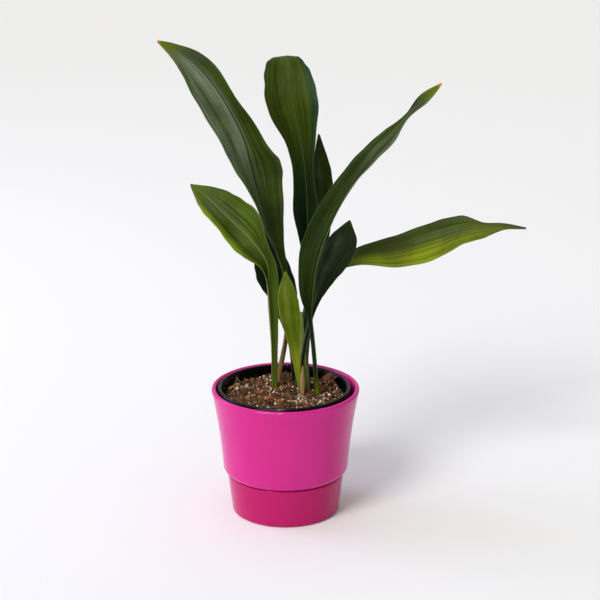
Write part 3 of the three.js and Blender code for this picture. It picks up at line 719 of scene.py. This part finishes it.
def cover_pot_outline():
    """The cover pot's section: foot, band, overhanging shoulder, flared wall, rolled lip and inside."""
    foot_inset = FOOT_RADIUS - FOOT_ROUND
    seam = BAND_TOP_RADIUS - SEAM_DEPTH
    shoulder_centre = SHOULDER_RADIUS - SHOULDER_ROUND
    seam_angle = math.degrees(math.acos((seam - shoulder_centre) / SHOULDER_ROUND))
    wall = ((SHOULDER_RADIUS, SHOULDER_HEIGHT), (WAIST_RADIUS, WAIST_HEIGHT), (RIM_RADIUS - 1, LIP_START))
    inner_wall = [(radius - POT_WALL, height) for radius, height in reversed(wall)]
    inner_foot = FOOT_RADIUS - POT_WALL
    return [
        (0, 0), (foot_inset - 6, 0), (foot_inset, 0),
        *arc_points(foot_inset, FOOT_ROUND, FOOT_ROUND, -75, 0, 6),
        *bend_points((FOOT_RADIUS + 0.2, FOOT_ROUND + 2), BAND_BELLY,
                     (BAND_TOP_RADIUS, BAND_HEIGHT - 0.8), 8),
        *arc_points(BAND_TOP_RADIUS - BAND_EDGE, BAND_HEIGHT - BAND_EDGE, BAND_EDGE, 15, 90, 4),
        (seam, BAND_HEIGHT),
        *arc_points(shoulder_centre, SHOULDER_HEIGHT, SHOULDER_ROUND, -seam_angle, -4, 12),
        *bend_points(*wall, 24),
        *arc_points(RIM_RADIUS - LIP_ROUND, POT_HEIGHT - LIP_ROUND, LIP_ROUND, 0, 180, 14),
        *bend_points(*inner_wall, 16),
        *bend_points((inner_foot, POT_FLOOR + FLOOR_FILLET), (inner_foot, POT_FLOOR),
                     (inner_foot - FLOOR_FILLET, POT_FLOOR), 6),
        (0, POT_FLOOR),
    ]


def nursery_inside(height):
    """The nursery pot's inner radius at a height."""
    share = (height - NURSERY_BOTTOM) / (NURSERY_TOP - NURSERY_BOTTOM)
    mouth = NURSERY_RADIUS - NURSERY_LIP
    return NURSERY_FOOT_RADIUS + (mouth - NURSERY_FOOT_RADIUS) * share - NURSERY_WALL


def nursery_outline():
    """The nursery pot's section, with its turned-down rim and the bead inside it."""
    neck = NURSERY_TOP - NURSERY_SKIRT
    under_rim = NURSERY_TOP - NURSERY_ROLL
    rim = (NURSERY_LIP + NURSERY_WALL) / 2
    skirt = NURSERY_RADIUS - NURSERY_WALL
    wall = [(nursery_inside(z) + NURSERY_WALL, z) for z in np.linspace(NURSERY_BOTTOM + 2, neck, 8)]
    inside = [(nursery_inside(z), z) for z in np.linspace(neck - 2, NURSERY_BOTTOM + 4, 10)]
    bead = [(nursery_inside(NURSERY_TOP - drop) - proud, NURSERY_TOP - drop) for drop, proud in NURSERY_BEAD]
    return [
        (0, NURSERY_BOTTOM), (NURSERY_FOOT_RADIUS - 2, NURSERY_BOTTOM), *wall,
        (nursery_inside(under_rim) + NURSERY_WALL, under_rim), (skirt, under_rim),
        (skirt - 0.2, neck), (NURSERY_RADIUS - 0.2, neck),
        *arc_points(NURSERY_RADIUS - rim, NURSERY_TOP - rim, rim, 0, 180, 16),
        *bead, *inside,
        (nursery_inside(NURSERY_BOTTOM) - 2.5, NURSERY_BOTTOM + NURSERY_FLOOR),
        (0, NURSERY_BOTTOM + NURSERY_FLOOR),
    ]


def apply_modifiers(piece):
    """Turns a piece's modifiers into its mesh."""
    bpy.context.view_layer.update()
    depsgraph = bpy.context.evaluated_depsgraph_get()
    made = bpy.data.meshes.new_from_object(piece.evaluated_get(depsgraph))
    piece.modifiers.clear()
    piece.data = made


def seeded_draw(seed):
    """The solid model's own repeatable draw between 0 and 1."""
    state = seed
    while True:
        state = (state * 1664525 + 1013904223) % 4294967296
        yield state / 4294967296


def mix_lumps():
    """Place, size and height of the lumps that the solid mix has."""
    draw = seeded_draw(LUMP_SEED)
    lumps = []
    for _ in range(LUMP_COUNT):
        angle = next(draw) * math.tau
        reach = math.sqrt(next(draw)) * LUMP_REACH
        size = LUMP_SIZE[0] + (LUMP_SIZE[1] - LUMP_SIZE[0]) * next(draw)
        height = LUMP_HEIGHT[0] + (LUMP_HEIGHT[1] - LUMP_HEIGHT[0]) * next(draw)
        lumps.append((reach * math.cos(angle), reach * math.sin(angle), size, height))
    return lumps


LUMPS = mix_lumps()


def humps(x, y, rows):
    """Height at a point of soft humps, each given by its x, y, spread and height."""
    return sum(
        height * math.exp(-((x - middle_x) ** 2 + (y - middle_y) ** 2) / spread ** 2)
        for middle_x, middle_y, spread, height in rows)


def mix_height(x, y):
    """Height of the mix at a point of the nursery pot, with the crumbs of its surface."""
    share = min(max(-y / FRONT_REACH, 0), 1)
    front = FRONT_RISE * share * share * (3 - 2 * share)
    crumbs = sum(
        height * noise.noise(Vector((x / width, y / width, layer)))
        for width, height, layer in SURFACE_CRUMBS)
    heaps = humps(x + NURSERY_X, y, HEAPS)
    return MIX_TOP + humps(x, y, [MOUND]) + front + humps(x, y, LUMPS) + heaps + crumbs


def mix_surface(rings, sides):
    """Vertices and faces of the body of the mix, closed down to the nursery pot's floor."""
    mouth = nursery_inside(MIX_TOP) - MIX_PLAY
    foot_height = NURSERY_BOTTOM + MIX_FOOT
    foot = nursery_inside(foot_height) - 2 * GAP
    turns = [(math.cos(a), math.sin(a)) for a in np.linspace(0, math.tau, sides, endpoint=False)]
    vertices = [(0, 0, mix_height(0, 0))]
    for ring in range(rings):
        radius = (ring + 1) / rings * mouth
        vertices += [(radius * c, radius * s, mix_height(radius * c, radius * s)) for c, s in turns]
    vertices += [(foot * c, foot * s, foot_height) for c, s in turns]
    vertices.append((0, 0, NURSERY_BOTTOM + NURSERY_FLOOR + GAP))
    faces = []
    for j in range(sides):
        k = (j + 1) % sides
        faces.append((0, 1 + j, 1 + k))
        for ring in range(rings):
            a, b = 1 + ring * sides, 1 + (ring + 1) * sides
            faces.append((a + j, b + j, b + k, a + k))
        last = 1 + rings * sides
        faces.append((last + j, len(vertices) - 1, last + k))
    return vertices, faces


def rough_stones(seed, kinds, size, roundness):
    """Irregular lumps as vertex and face arrays, hulls of random points stretched to a size."""
    rng = np.random.default_rng(seed)
    stones = []
    for _ in range(kinds):
        points = rng.normal(size=(14, 3))
        points /= np.linalg.norm(points, axis=1)[:, None] ** roundness
        points *= np.array(size) / 2
        mesh = bmesh.new()
        for p in points:
            mesh.verts.new(p)
        hull = bmesh.ops.convex_hull(mesh, input=mesh.verts)
        loose = [v for v in hull["geom_interior"] if isinstance(v, bmesh.types.BMVert)]
        bmesh.ops.delete(mesh, geom=loose, context="VERTS")
        mesh.verts.index_update()
        corners = np.array([v.co[:] for v in mesh.verts])
        stones.append((corners, [[v.index for v in f.verts] for f in mesh.faces]))
        mesh.free()
    return stones


def spin(turn, tilt, roll):
    """A rotation matrix: roll about X, then tilt about Y, then turn about Z."""
    (cz, sz), (cy, sy), (cx, sx) = [(math.cos(a), math.sin(a)) for a in (turn, tilt, roll)]
    about_z = np.array([[cz, -sz, 0], [sz, cz, 0], [0, 0, 1]])
    about_y = np.array([[cy, 0, sy], [0, 1, 0], [-sy, 0, cy]])
    about_x = np.array([[1, 0, 0], [0, cx, -sx], [0, sx, cx]])
    return about_z @ about_y @ about_x


def joined(parts):
    """Joins several (vertices, faces) into one."""
    vertices, faces, count = [], [], 0
    for points, polygons in parts:
        vertices.append(points)
        faces += [[count + i for i in polygon] for polygon in polygons]
        count += len(points)
    return np.vstack(vertices), faces


def strewn(stones, placings):
    """Joins copies of the stones, each placed by (stone, x, y, z, scale, angles, tone)."""
    parts, tones = [], []
    for index, x, y, z, scale, angles, tone in placings:
        points, polygons = stones[index % len(stones)]
        parts.append(((points * np.array(scale)) @ spin(*angles).T + (x, y, z), polygons))
        tones += [tone] * len(points)
    return *joined(parts), tones


def mix_spots(rng, count, reach):
    """Random places on the mix, even over its area."""
    angles = rng.uniform(0, math.tau, count)
    radii = reach * np.sqrt(rng.uniform(0, 1, count))
    return np.stack([radii * np.cos(angles), radii * np.sin(angles)], axis=1)


def bark_pieces(rng, look, reach):
    """Vertices, faces and tones of the crumbs, the chips and the slabs of bark on the mix."""
    crumbs = rough_stones(seed=2, kinds=7, size=(1.9, 1.4, 1.1), roundness=0.8)
    chips = rough_stones(seed=3, kinds=9, size=(4.4, 2.0, 1.2), roundness=0.7)
    slabs = rough_stones(seed=8, kinds=5, size=(1, 1, 1), roundness=0.55)

    # First stone and number of stones of a grade, its largest scale, how few are large, how proud it lies
    crumb_grade = (0, len(crumbs), 1.3, 1, 0.9)
    chip_grade = (len(crumbs), len(chips), 1.45, 1.4, 1.3)
    placings = []
    for i, (x, y) in enumerate(mix_spots(rng, look.crumbs + look.chips, reach)):
        first, kinds, largest, skew, proud = crumb_grade if i < look.crumbs else chip_grade
        scale = rng.uniform(0.5, largest) ** skew
        angles = (rng.uniform(0, math.tau), rng.normal(0, 0.45), rng.normal(0, 0.5))
        z = mix_height(x, y) + rng.uniform(-0.2, proud)
        placings.append((first + i % kinds, x, y, z, scale, angles, rng.beta(1.7, 2.2)))
    for i, (x, y, length, width, thickness, turn, tilt, roll, tone) in enumerate(SLABS):
        local = x - NURSERY_X
        index = len(crumbs) + len(chips) + i % len(slabs)
        angles = tuple(math.radians(a) for a in (turn, tilt, roll))
        z = mix_height(local, y) + 1.2
        placings.append((index, local, y, z, (length, width, thickness), angles, tone))
    return strewn(crumbs + chips + slabs, placings)


def perlite_pieces(rng, look, reach):
    """Vertices, faces and tones of the perlite grains, thick where the drifts are."""
    grains = rough_stones(seed=5, kinds=11, size=(1.15, 0.85, 0.7), roundness=0.75)
    placings = []
    for i, (x, y) in enumerate(mix_spots(rng, look.perlite * 6, reach)):
        kept = PERLITE_EVERYWHERE + humps(x + NURSERY_X, y, PERLITE_DRIFTS)
        if rng.uniform() > kept or len(placings) >= look.perlite:
            continue
        scale = look.grain / MM * rng.uniform(0.45, 1.0) ** 1.5 * rng.choice((1, 1, 1.5))
        angles = tuple(rng.uniform(0, math.tau, 3))
        tone = rng.beta(2.6, 1.7)
        placings.append((i, x, y, mix_height(x, y) + rng.uniform(0.5, 1.7), scale, angles, tone))
    return strewn(grains, placings)


def fibre_pieces(rng, look, reach):
    """Vertices and faces of the loose coir fibres, which curl to one side and turn back at the wall."""
    made = []
    steps = len(FIBRE_RADII) - 1
    for x, y in mix_spots(rng, look.fibres, reach - 6):
        heading, length = rng.uniform(0, math.tau), rng.uniform(4, 14)
        curl = rng.uniform(-1.5, 1.5)
        path = []
        for step in range(steps + 1):
            arch = 0.7 * math.sin(step * 0.5) * rng.uniform(0.4, 1.4)
            path.append((x, y, mix_height(x, y) + 0.9 + arch))
            heading += curl / steps
            x += length / steps * math.cos(heading)
            y += length / steps * math.sin(heading)
            if math.hypot(x, y) > reach:
                heading += 0.8
        made.append(tube(path, FIBRE_RADII, 5))
    return joined(made)


def twig_piece():
    """Vertices and faces of the twig, thinner towards its end and slightly knotty."""
    points = 25
    path, _ = spline(np.array(TWIG_PLACES), np.linspace(0, 1, points))
    radii = [0.9 + 0.14 * math.sin(2.3 * i) - 0.014 * i for i in range(points)]
    return tube(path, radii, 9)


def tube(path, radii, sides):
    """Vertices and faces of a closed tube along a path with a radius at each point."""
    path = np.asarray(path, dtype=float)
    along = np.gradient(path, axis=0)
    along /= np.linalg.norm(along, axis=1)[:, None]
    up = np.array([0.123, 0.235, 0.964])
    side = np.cross(along, up)
    side /= np.linalg.norm(side, axis=1)[:, None]
    other = np.cross(side, along)
    vertices, faces = [], []
    for point, across, above, radius in zip(path, side, other, radii):
        for angle in np.linspace(0, math.tau, sides, endpoint=False):
            vertices.append(point + radius * (math.cos(angle) * across + math.sin(angle) * above))
    for i in range(len(path) - 1):
        for j in range(sides):
            k = (j + 1) % sides
            faces.append((i * sides + j, i * sides + k, (i + 1) * sides + k, (i + 1) * sides + j))
    faces.append(tuple(range(sides))[::-1])
    faces.append(tuple(range((len(path) - 1) * sides, len(path) * sides)))
    return vertices, faces


def spline(knots, shares):
    """A uniform Catmull-Rom curve through the rows of knots, with straight ends, and its slope."""
    points = np.vstack([2 * knots[0] - knots[1], knots, 2 * knots[-1] - knots[-2]])
    places = shares * (len(knots) - 1)
    index = np.minimum(places.astype(int), len(knots) - 2)
    w = (places - index)[:, None]
    p0, p1, p2, p3 = (points[index + k] for k in range(4))
    m1, m2 = (p2 - p0) / 2, (p3 - p1) / 2
    cubic, square = 2 * p1 - 2 * p2 + m1 + m2, -3 * p1 + 3 * p2 - 2 * m1 - m2
    return cubic * w ** 3 + square * w ** 2 + m1 * w + p1, 3 * cubic * w ** 2 + 2 * square * w + m1


def smoothstep(value, low, high):
    """0 below low, 1 above high, and a soft step between."""
    share = np.clip((value - low) / (high - low), 0, 1)
    return share * share * (3 - 2 * share)


def leaf_section(shape, values, t, u, pleat):
    """How far the points of a leaf's upper face lie across and above its midrib, the face's slope there
    and the thickness under it, for shares t of the length and u from the left edge (-1) to the right (1)."""
    height, count, phase = shape["wave"]
    half = np.where(u < 0, values[:, 5:6], values[:, 6:7])
    start = math.tau * (phase + np.where(u > 0, WANDER_AHEAD, 0))
    wander = 1
    for order, (amount, swings) in enumerate(EDGE_WANDER, 1):
        wander = wander + amount * np.sin(math.tau * swings * t + order * start)
    half = half * wander

    fold = np.radians(values[:, 7:8])
    rib = shape["stalk"] + (RIB_TIP - shape["stalk"]) * smoothstep(t, *RIB_THINS)
    crowded = np.abs(u) ** COLUMN_CROWDING
    out = crowded * half
    lean = fold * out / (out + FOLD_ROUND)
    bend = out / shape["cup"]
    over, up = shape["cup"] * np.sin(bend), shape["cup"] * (1 - np.cos(bend))
    across = np.sign(u) * (over * np.cos(lean) - up * np.sin(lean))
    above = rib / 2 + over * np.sin(lean) + up * np.cos(lean)

    broad = np.minimum(1, half / BROAD_HALF)
    swing = math.tau * (count * t + phase) + np.where(u > 0, RIPPLE_AHEAD, 0)
    above = above + height * np.sin(math.pi * t) ** 2 * np.abs(u) ** 3 * np.sin(swing) * broad
    above = above + pleat / MM * broad * np.sin(math.tau * PLEATS_A_HALF * crowded + 2 * t)
    slope = np.sign(u) * (lean + bend)
    thickness = BLADE_EDGE + (rib - BLADE_EDGE) * np.exp(-((out / RIB_SPREAD) ** 2))
    return across, above, slope, thickness


def leaf_faces(stations, columns):
    """Faces of a leaf's closed skin, and their slots: 1 underneath, and 0 above and round the edges."""
    width, loop = columns + 1, 2 * (columns + 1)
    faces, slots = [], []
    for i in range(stations):
        a, b = i * loop, (i + 1) * loop
        for j in range(columns):
            faces.append((a + j, a + j + 1, b + j + 1, b + j))
            faces.append((a + width + j, b + width + j, b + width + j + 1, a + width + j + 1))
            slots += [0, 1]
        faces.append((a, b, b + width, a + width))
        faces.append((a + width - 1, a + loop - 1, b + loop - 1, b + width - 1))
        slots += [0, 0]
    end = stations * loop
    for j in range(columns):
        faces.append((j, j + width, j + width + 1, j + 1))
        faces.append((end + j, end + j + 1, end + j + width + 1, end + j + width))
        slots += [0, 0]
    return faces, slots


def leaf_arrays(shape, stations, columns, pleat):
    """Vertices, faces, face slots and growth coordinates of a leaf, lofted along its midrib like its
    solid. Growth runs across from 0 at the left edge to 1 at the right, and along from foot to tip."""
    t = np.linspace(0, 1, stations + 1)[:, None]
    u = np.linspace(-1, 1, columns + 1)[None, :]
    values, slopes = spline(np.array(shape["knots"], dtype=float), t[:, 0])
    centre, along = values[:, :3], slopes[:, :3]
    along = along / np.linalg.norm(along, axis=1)[:, None]
    turn, lift = np.radians(values[:, 3]), np.radians(values[:, 4])
    face = np.stack([np.sin(turn) * np.cos(lift), -np.cos(turn) * np.cos(lift), np.sin(lift)], axis=1)
    face -= along * np.sum(face * along, axis=1)[:, None]
    face /= np.linalg.norm(face, axis=1)[:, None]
    right = np.cross(along, face)

    def placed(sideways, upwards):
        return centre[:, None] + right[:, None] * sideways[..., None] + face[:, None] * upwards[..., None]

    across, above, slope, thickness = leaf_section(shape, values, t, u, pleat)
    top = placed(across, above)
    under = placed(across + thickness * np.sin(slope), above - thickness * np.cos(slope))
    vertices = np.concatenate([top, under], axis=1).reshape(-1, 3)
    wide = np.sign(u) * np.abs(u) ** COLUMN_CROWDING / 2 + 0.5
    grid = np.stack(np.broadcast_arrays(wide, t), axis=2)
    growth = np.concatenate([grid, grid], axis=1).reshape(-1, 2)
    return vertices, *leaf_faces(stations, columns), growth


class PLANT_OT_cover_pot(bpy.types.Operator):
    """Turn the glazed cover pot"""

    bl_idname = "plant.cover_pot"
    bl_label = "Cover pot"

    def execute(self, context):
        look = context.scene.pot_look
        vertices, faces = turned(cover_pot_outline(), look.sides)
        on_foot = [int(max(vertices[i][2] for i in face) < 0.01) for face in faces]
        pot = mesh_object("cover_pot_glazed", vertices, faces,
                          [glazed_earthenware(look), biscuit_earthenware()], slots=on_foot)
        pot.data.set_sharp_from_angle(angle=math.radians(50))
        bpy.data.collections[GLOSSY].objects.link(pot)
        settle(pot, "pink_glaze", "cover_pot")
        return {"FINISHED"}


class PLANT_OT_nursery_pot(bpy.types.Operator):
    """Mould the black nursery pot with its drain holes"""

    bl_idname = "plant.nursery_pot"
    bl_label = "Nursery pot"

    def execute(self, context):
        look = context.scene.pot_look
        vertices, faces = turned(nursery_outline(), look.sides)
        pot = mesh_object("nursery_pot_moulded", np.array(vertices) + (NURSERY_X, 0, 0), faces,
                          [moulded_polypropylene(look)])
        cutters = []
        for i in range(DRAIN_HOLES):
            angle = i * math.tau / DRAIN_HOLES
            place = (NURSERY_X + DRAIN_CIRCLE * math.cos(angle), DRAIN_CIRCLE * math.sin(angle))
            path = [(*place, NURSERY_BOTTOM - 4), (*place, NURSERY_BOTTOM + 4)]
            cutters.append(tube(path, [DRAIN_RADIUS] * 2, 24))
        drill = mesh_object("drill", *joined(cutters), [])
        cut = pot.modifiers.new("drain holes", "BOOLEAN")
        cut.object = drill
        cut.operation = "DIFFERENCE"
        apply_modifiers(pot)
        bpy.data.objects.remove(drill)
        pot.data.set_sharp_from_angle(angle=math.radians(40))
        bpy.data.collections[GLOSSY].objects.link(pot)
        settle(pot, "black_plastic", "nursery_pot")
        return {"FINISHED"}


class PLANT_OT_potting_mix(bpy.types.Operator):
    """Fill the nursery pot with coir, bark, perlite and fibres, and lay the twig on top"""

    bl_idname = "plant.potting_mix"
    bl_label = "Potting mix"

    def execute(self, context):
        look = context.scene.mix_look
        rng = np.random.default_rng(MIX_SEED)
        shift = (NURSERY_X, 0, 0)
        reach = nursery_inside(MIX_TOP) - MIX_MARGIN

        vertices, faces = mix_surface(MIX_RINGS, MIX_SIDES)
        body = mesh_object("mix_body", np.array(vertices) + shift, faces, [damp_coir_painted_shade()])
        settle(body, "bark_mix", "potting_mix")

        vertices, faces, tones = bark_pieces(rng, look, reach)
        bark = mesh_object("bark_chips", vertices + shift, faces, [composted_bark()],
                           tones=tones, smooth=False)
        settle(bark, "bark_mix")

        vertices, faces, tones = perlite_pieces(rng, look, reach)
        perlite = mesh_object("perlite_grains", vertices + shift, faces, [expanded_perlite()], tones=tones)
        settle(perlite, "bark_mix")

        vertices, faces = fibre_pieces(rng, look, reach)
        fibres = mesh_object("coir_fibres", vertices + shift, faces,
                             [dry_fibre("coconut coir fibre", "4a2c16", "8f6238")])
        settle(fibres, "bark_mix")

        twig = mesh_object("bark_twig", *twig_piece(), [dry_fibre("pine twig, dry", "6a3418", "a4602f")])
        settle(twig, "bark_mix")
        return {"FINISHED"}


class PLANT_OT_leaves(bpy.types.Operator):
    """Grow the nine leaves from the knots of their midribs"""

    bl_idname = "plant.leaves"
    bl_label = "Leaves"

    def execute(self, context):
        look = context.scene.leaf_look
        for name, shape in LEAVES.items():
            vertices, faces, slots, growth = leaf_arrays(shape, look.stations, look.columns, look.pleat)
            knots = shape["knots"]
            first_broad = next(i for i, knot in enumerate(knots) if knot[5] > 5)
            title = name.replace("_", " ")
            upper = leaf_cuticle(title, shape, first_broad / (len(knots) - 1), look.veins)
            under = leaf_underside(title, shape["colours"], look.veins)
            leaf = mesh_object(name + "_grown", vertices, faces, [upper, under], slots=slots, growth=growth)
            leaf.data.set_sharp_from_angle(angle=math.radians(60))
            settle(leaf, name, name)
        return {"FINISHED"}


class PLANT_OT_sheaths(bpy.types.Operator):
    """Wrap the stalks' feet in their papery bracts"""

    bl_idname = "plant.sheaths"
    bl_label = "Bracts"

    def execute(self, context):
        for name, (cup, colours, knots) in SHEATHS.items():
            shape = {"stalk": SHEATH_STALK, "cup": cup, "wave": (0, 1, 0), "knots": knots}
            vertices, faces, _, growth = leaf_arrays(shape, stations=40, columns=20, pleat=0)
            paper = papery_bract(name.replace("_", " "), *colours)
            bract = mesh_object(name + "_dried", vertices, faces, [paper], growth=growth)
            bract.data.set_sharp_from_angle(angle=math.radians(60))
            settle(bract, name, name)
        return {"FINISHED"}


class PLANT_OT_stage(bpy.types.Operator):
    """Lay the floor and set the camera and the lights"""

    bl_idname = "plant.stage"
    bl_label = "Stage"

    def execute(self, context):
        look = context.scene.stage_look
        scene = context.scene
        far = FLOOR_REACH / MM
        corners = [(-far, -far, 0), (far, -far, 0), (far, far, 0), (-far, far, 0)]
        mesh_object("floor", corners, [(0, 1, 2, 3)], [matt_floor(look)])

        camera = bpy.data.objects.new("camera", bpy.data.cameras.new("camera"))
        camera.data.sensor_fit = "HORIZONTAL"
        camera.data.sensor_width = 36
        camera.data.lens = look.lens
        camera.location = (0, -look.distance, look.height)
        camera.rotation_euler = (math.radians(90) - look.pitch, 0, -look.yaw)
        scene.collection.objects.link(camera)
        scene.camera = camera

        # Name, kind, place in metres, power, angle in degrees or width in metres, and tint
        lamps = (
            ("window_light", "SUN", (-1.05, -1.45, 1.74), look.key, 24, (1.0, 0.99, 0.975)),
            ("top_light", "SUN", (0, 0, 2), look.top, 100, (1.0, 1.0, 1.0)),
            ("back_light", "AREA", (-1.6, 0.5, 0.8), look.back, 1.0, (0.6, 0.62, 1.0)),
            ("glint_light", "AREA", (-0.2, -1.0, 1.86), look.glint, 0.22, (1.0, 0.99, 0.98)),
        )
        for name, kind, place, power, size, tint in lamps:
            lamp = bpy.data.objects.new(name, bpy.data.lights.new(name, kind))
            lamp.data.energy = power
            lamp.data.color = tint
            if kind == "SUN":
                lamp.data.angle = math.radians(size)
            else:
                lamp.data.size = size
            lamp.location = place
            lamp.rotation_euler = (Vector(LAMP_AIM) - Vector(place)).to_track_quat("-Z", "Y").to_euler()
            scene.collection.objects.link(lamp)

        # The last lamp gives the lip its highlight, and shows in the gloss of the pots alone
        lamp.visible_diffuse = False
        lamp.light_linking.receiver_collection = bpy.data.collections.new(GLOSSY)

        # A room that is brightest behind on the left, seen by the camera as an even pale grey
        world = bpy.data.worlds.new("soft room")
        scene.world = world
        world.use_nodes = True
        world.node_tree.nodes.clear()
        add = partial(add_node, world.node_tree)
        looking = add("TexCoord").outputs["Generated"]
        to_left = add("VectorMath", {0: looking, 1: (-0.8, 0.6, 0.0)}, operation="DOT_PRODUCT")
        fading = add("MapRange", {
            "Value": to_left, "From Min": -0.7, "From Max": 0.8, "To Min": 0.26, "To Max": 0.56},
            interpolation_type="SMOOTHSTEP")
        room = add("Background", {"Color": (1.0, 0.995, 0.99, 1.0), "Strength": fading})
        seen = add("Background", {"Color": (0.9, 0.9, 0.895, 1.0), "Strength": 1.0})
        straight = add("LightPath").outputs["Is Camera Ray"]
        either = add("MixShader", {0: straight, 1: room, 2: seen})
        add("OutputWorld", {"Surface": either})
        scene.view_settings.view_transform = "Standard"
        return {"FINISHED"}


class PLANT_PT_panel(bpy.types.Panel):
    """Lists the pieces of the plant"""

    bl_label = "Cast iron plant"
    bl_space_type = "VIEW_3D"
    bl_region_type = "UI"
    bl_category = "Plant"

    def draw(self, context):
        for step in OPERATORS:
            self.layout.operator(step.bl_idname)
        for group in LOOKS:
            look = getattr(context.scene, group)
            for key in look.bl_rna.properties.keys():
                if key not in ("rna_type", "name"):
                    self.layout.prop(look, key)


LOOKS = {"pot_look": PotLook, "mix_look": MixLook, "leaf_look": LeafLook, "stage_look": StageLook}
OPERATORS = (
    PLANT_OT_stage, PLANT_OT_cover_pot, PLANT_OT_nursery_pot, PLANT_OT_potting_mix, PLANT_OT_leaves,
    PLANT_OT_sheaths,
)


def register():
    for kind in (*LOOKS.values(), *OPERATORS, PLANT_PT_panel):
        bpy.utils.register_class(kind)
    for name, kind in LOOKS.items():
        setattr(bpy.types.Scene, name, bpy.props.PointerProperty(type=kind))


def unregister():
    for name in LOOKS:
        delattr(bpy.types.Scene, name)
    for kind in reversed((*LOOKS.values(), *OPERATORS, PLANT_PT_panel)):
        bpy.utils.unregister_class(kind)


def main():
    register()
    bpy.ops.plant.stage()
    bpy.ops.plant.cover_pot()
    bpy.ops.plant.nursery_pot()
    bpy.ops.plant.potting_mix()
    bpy.ops.plant.leaves()
    bpy.ops.plant.sheaths()


if __name__ == "__main__":
    main()
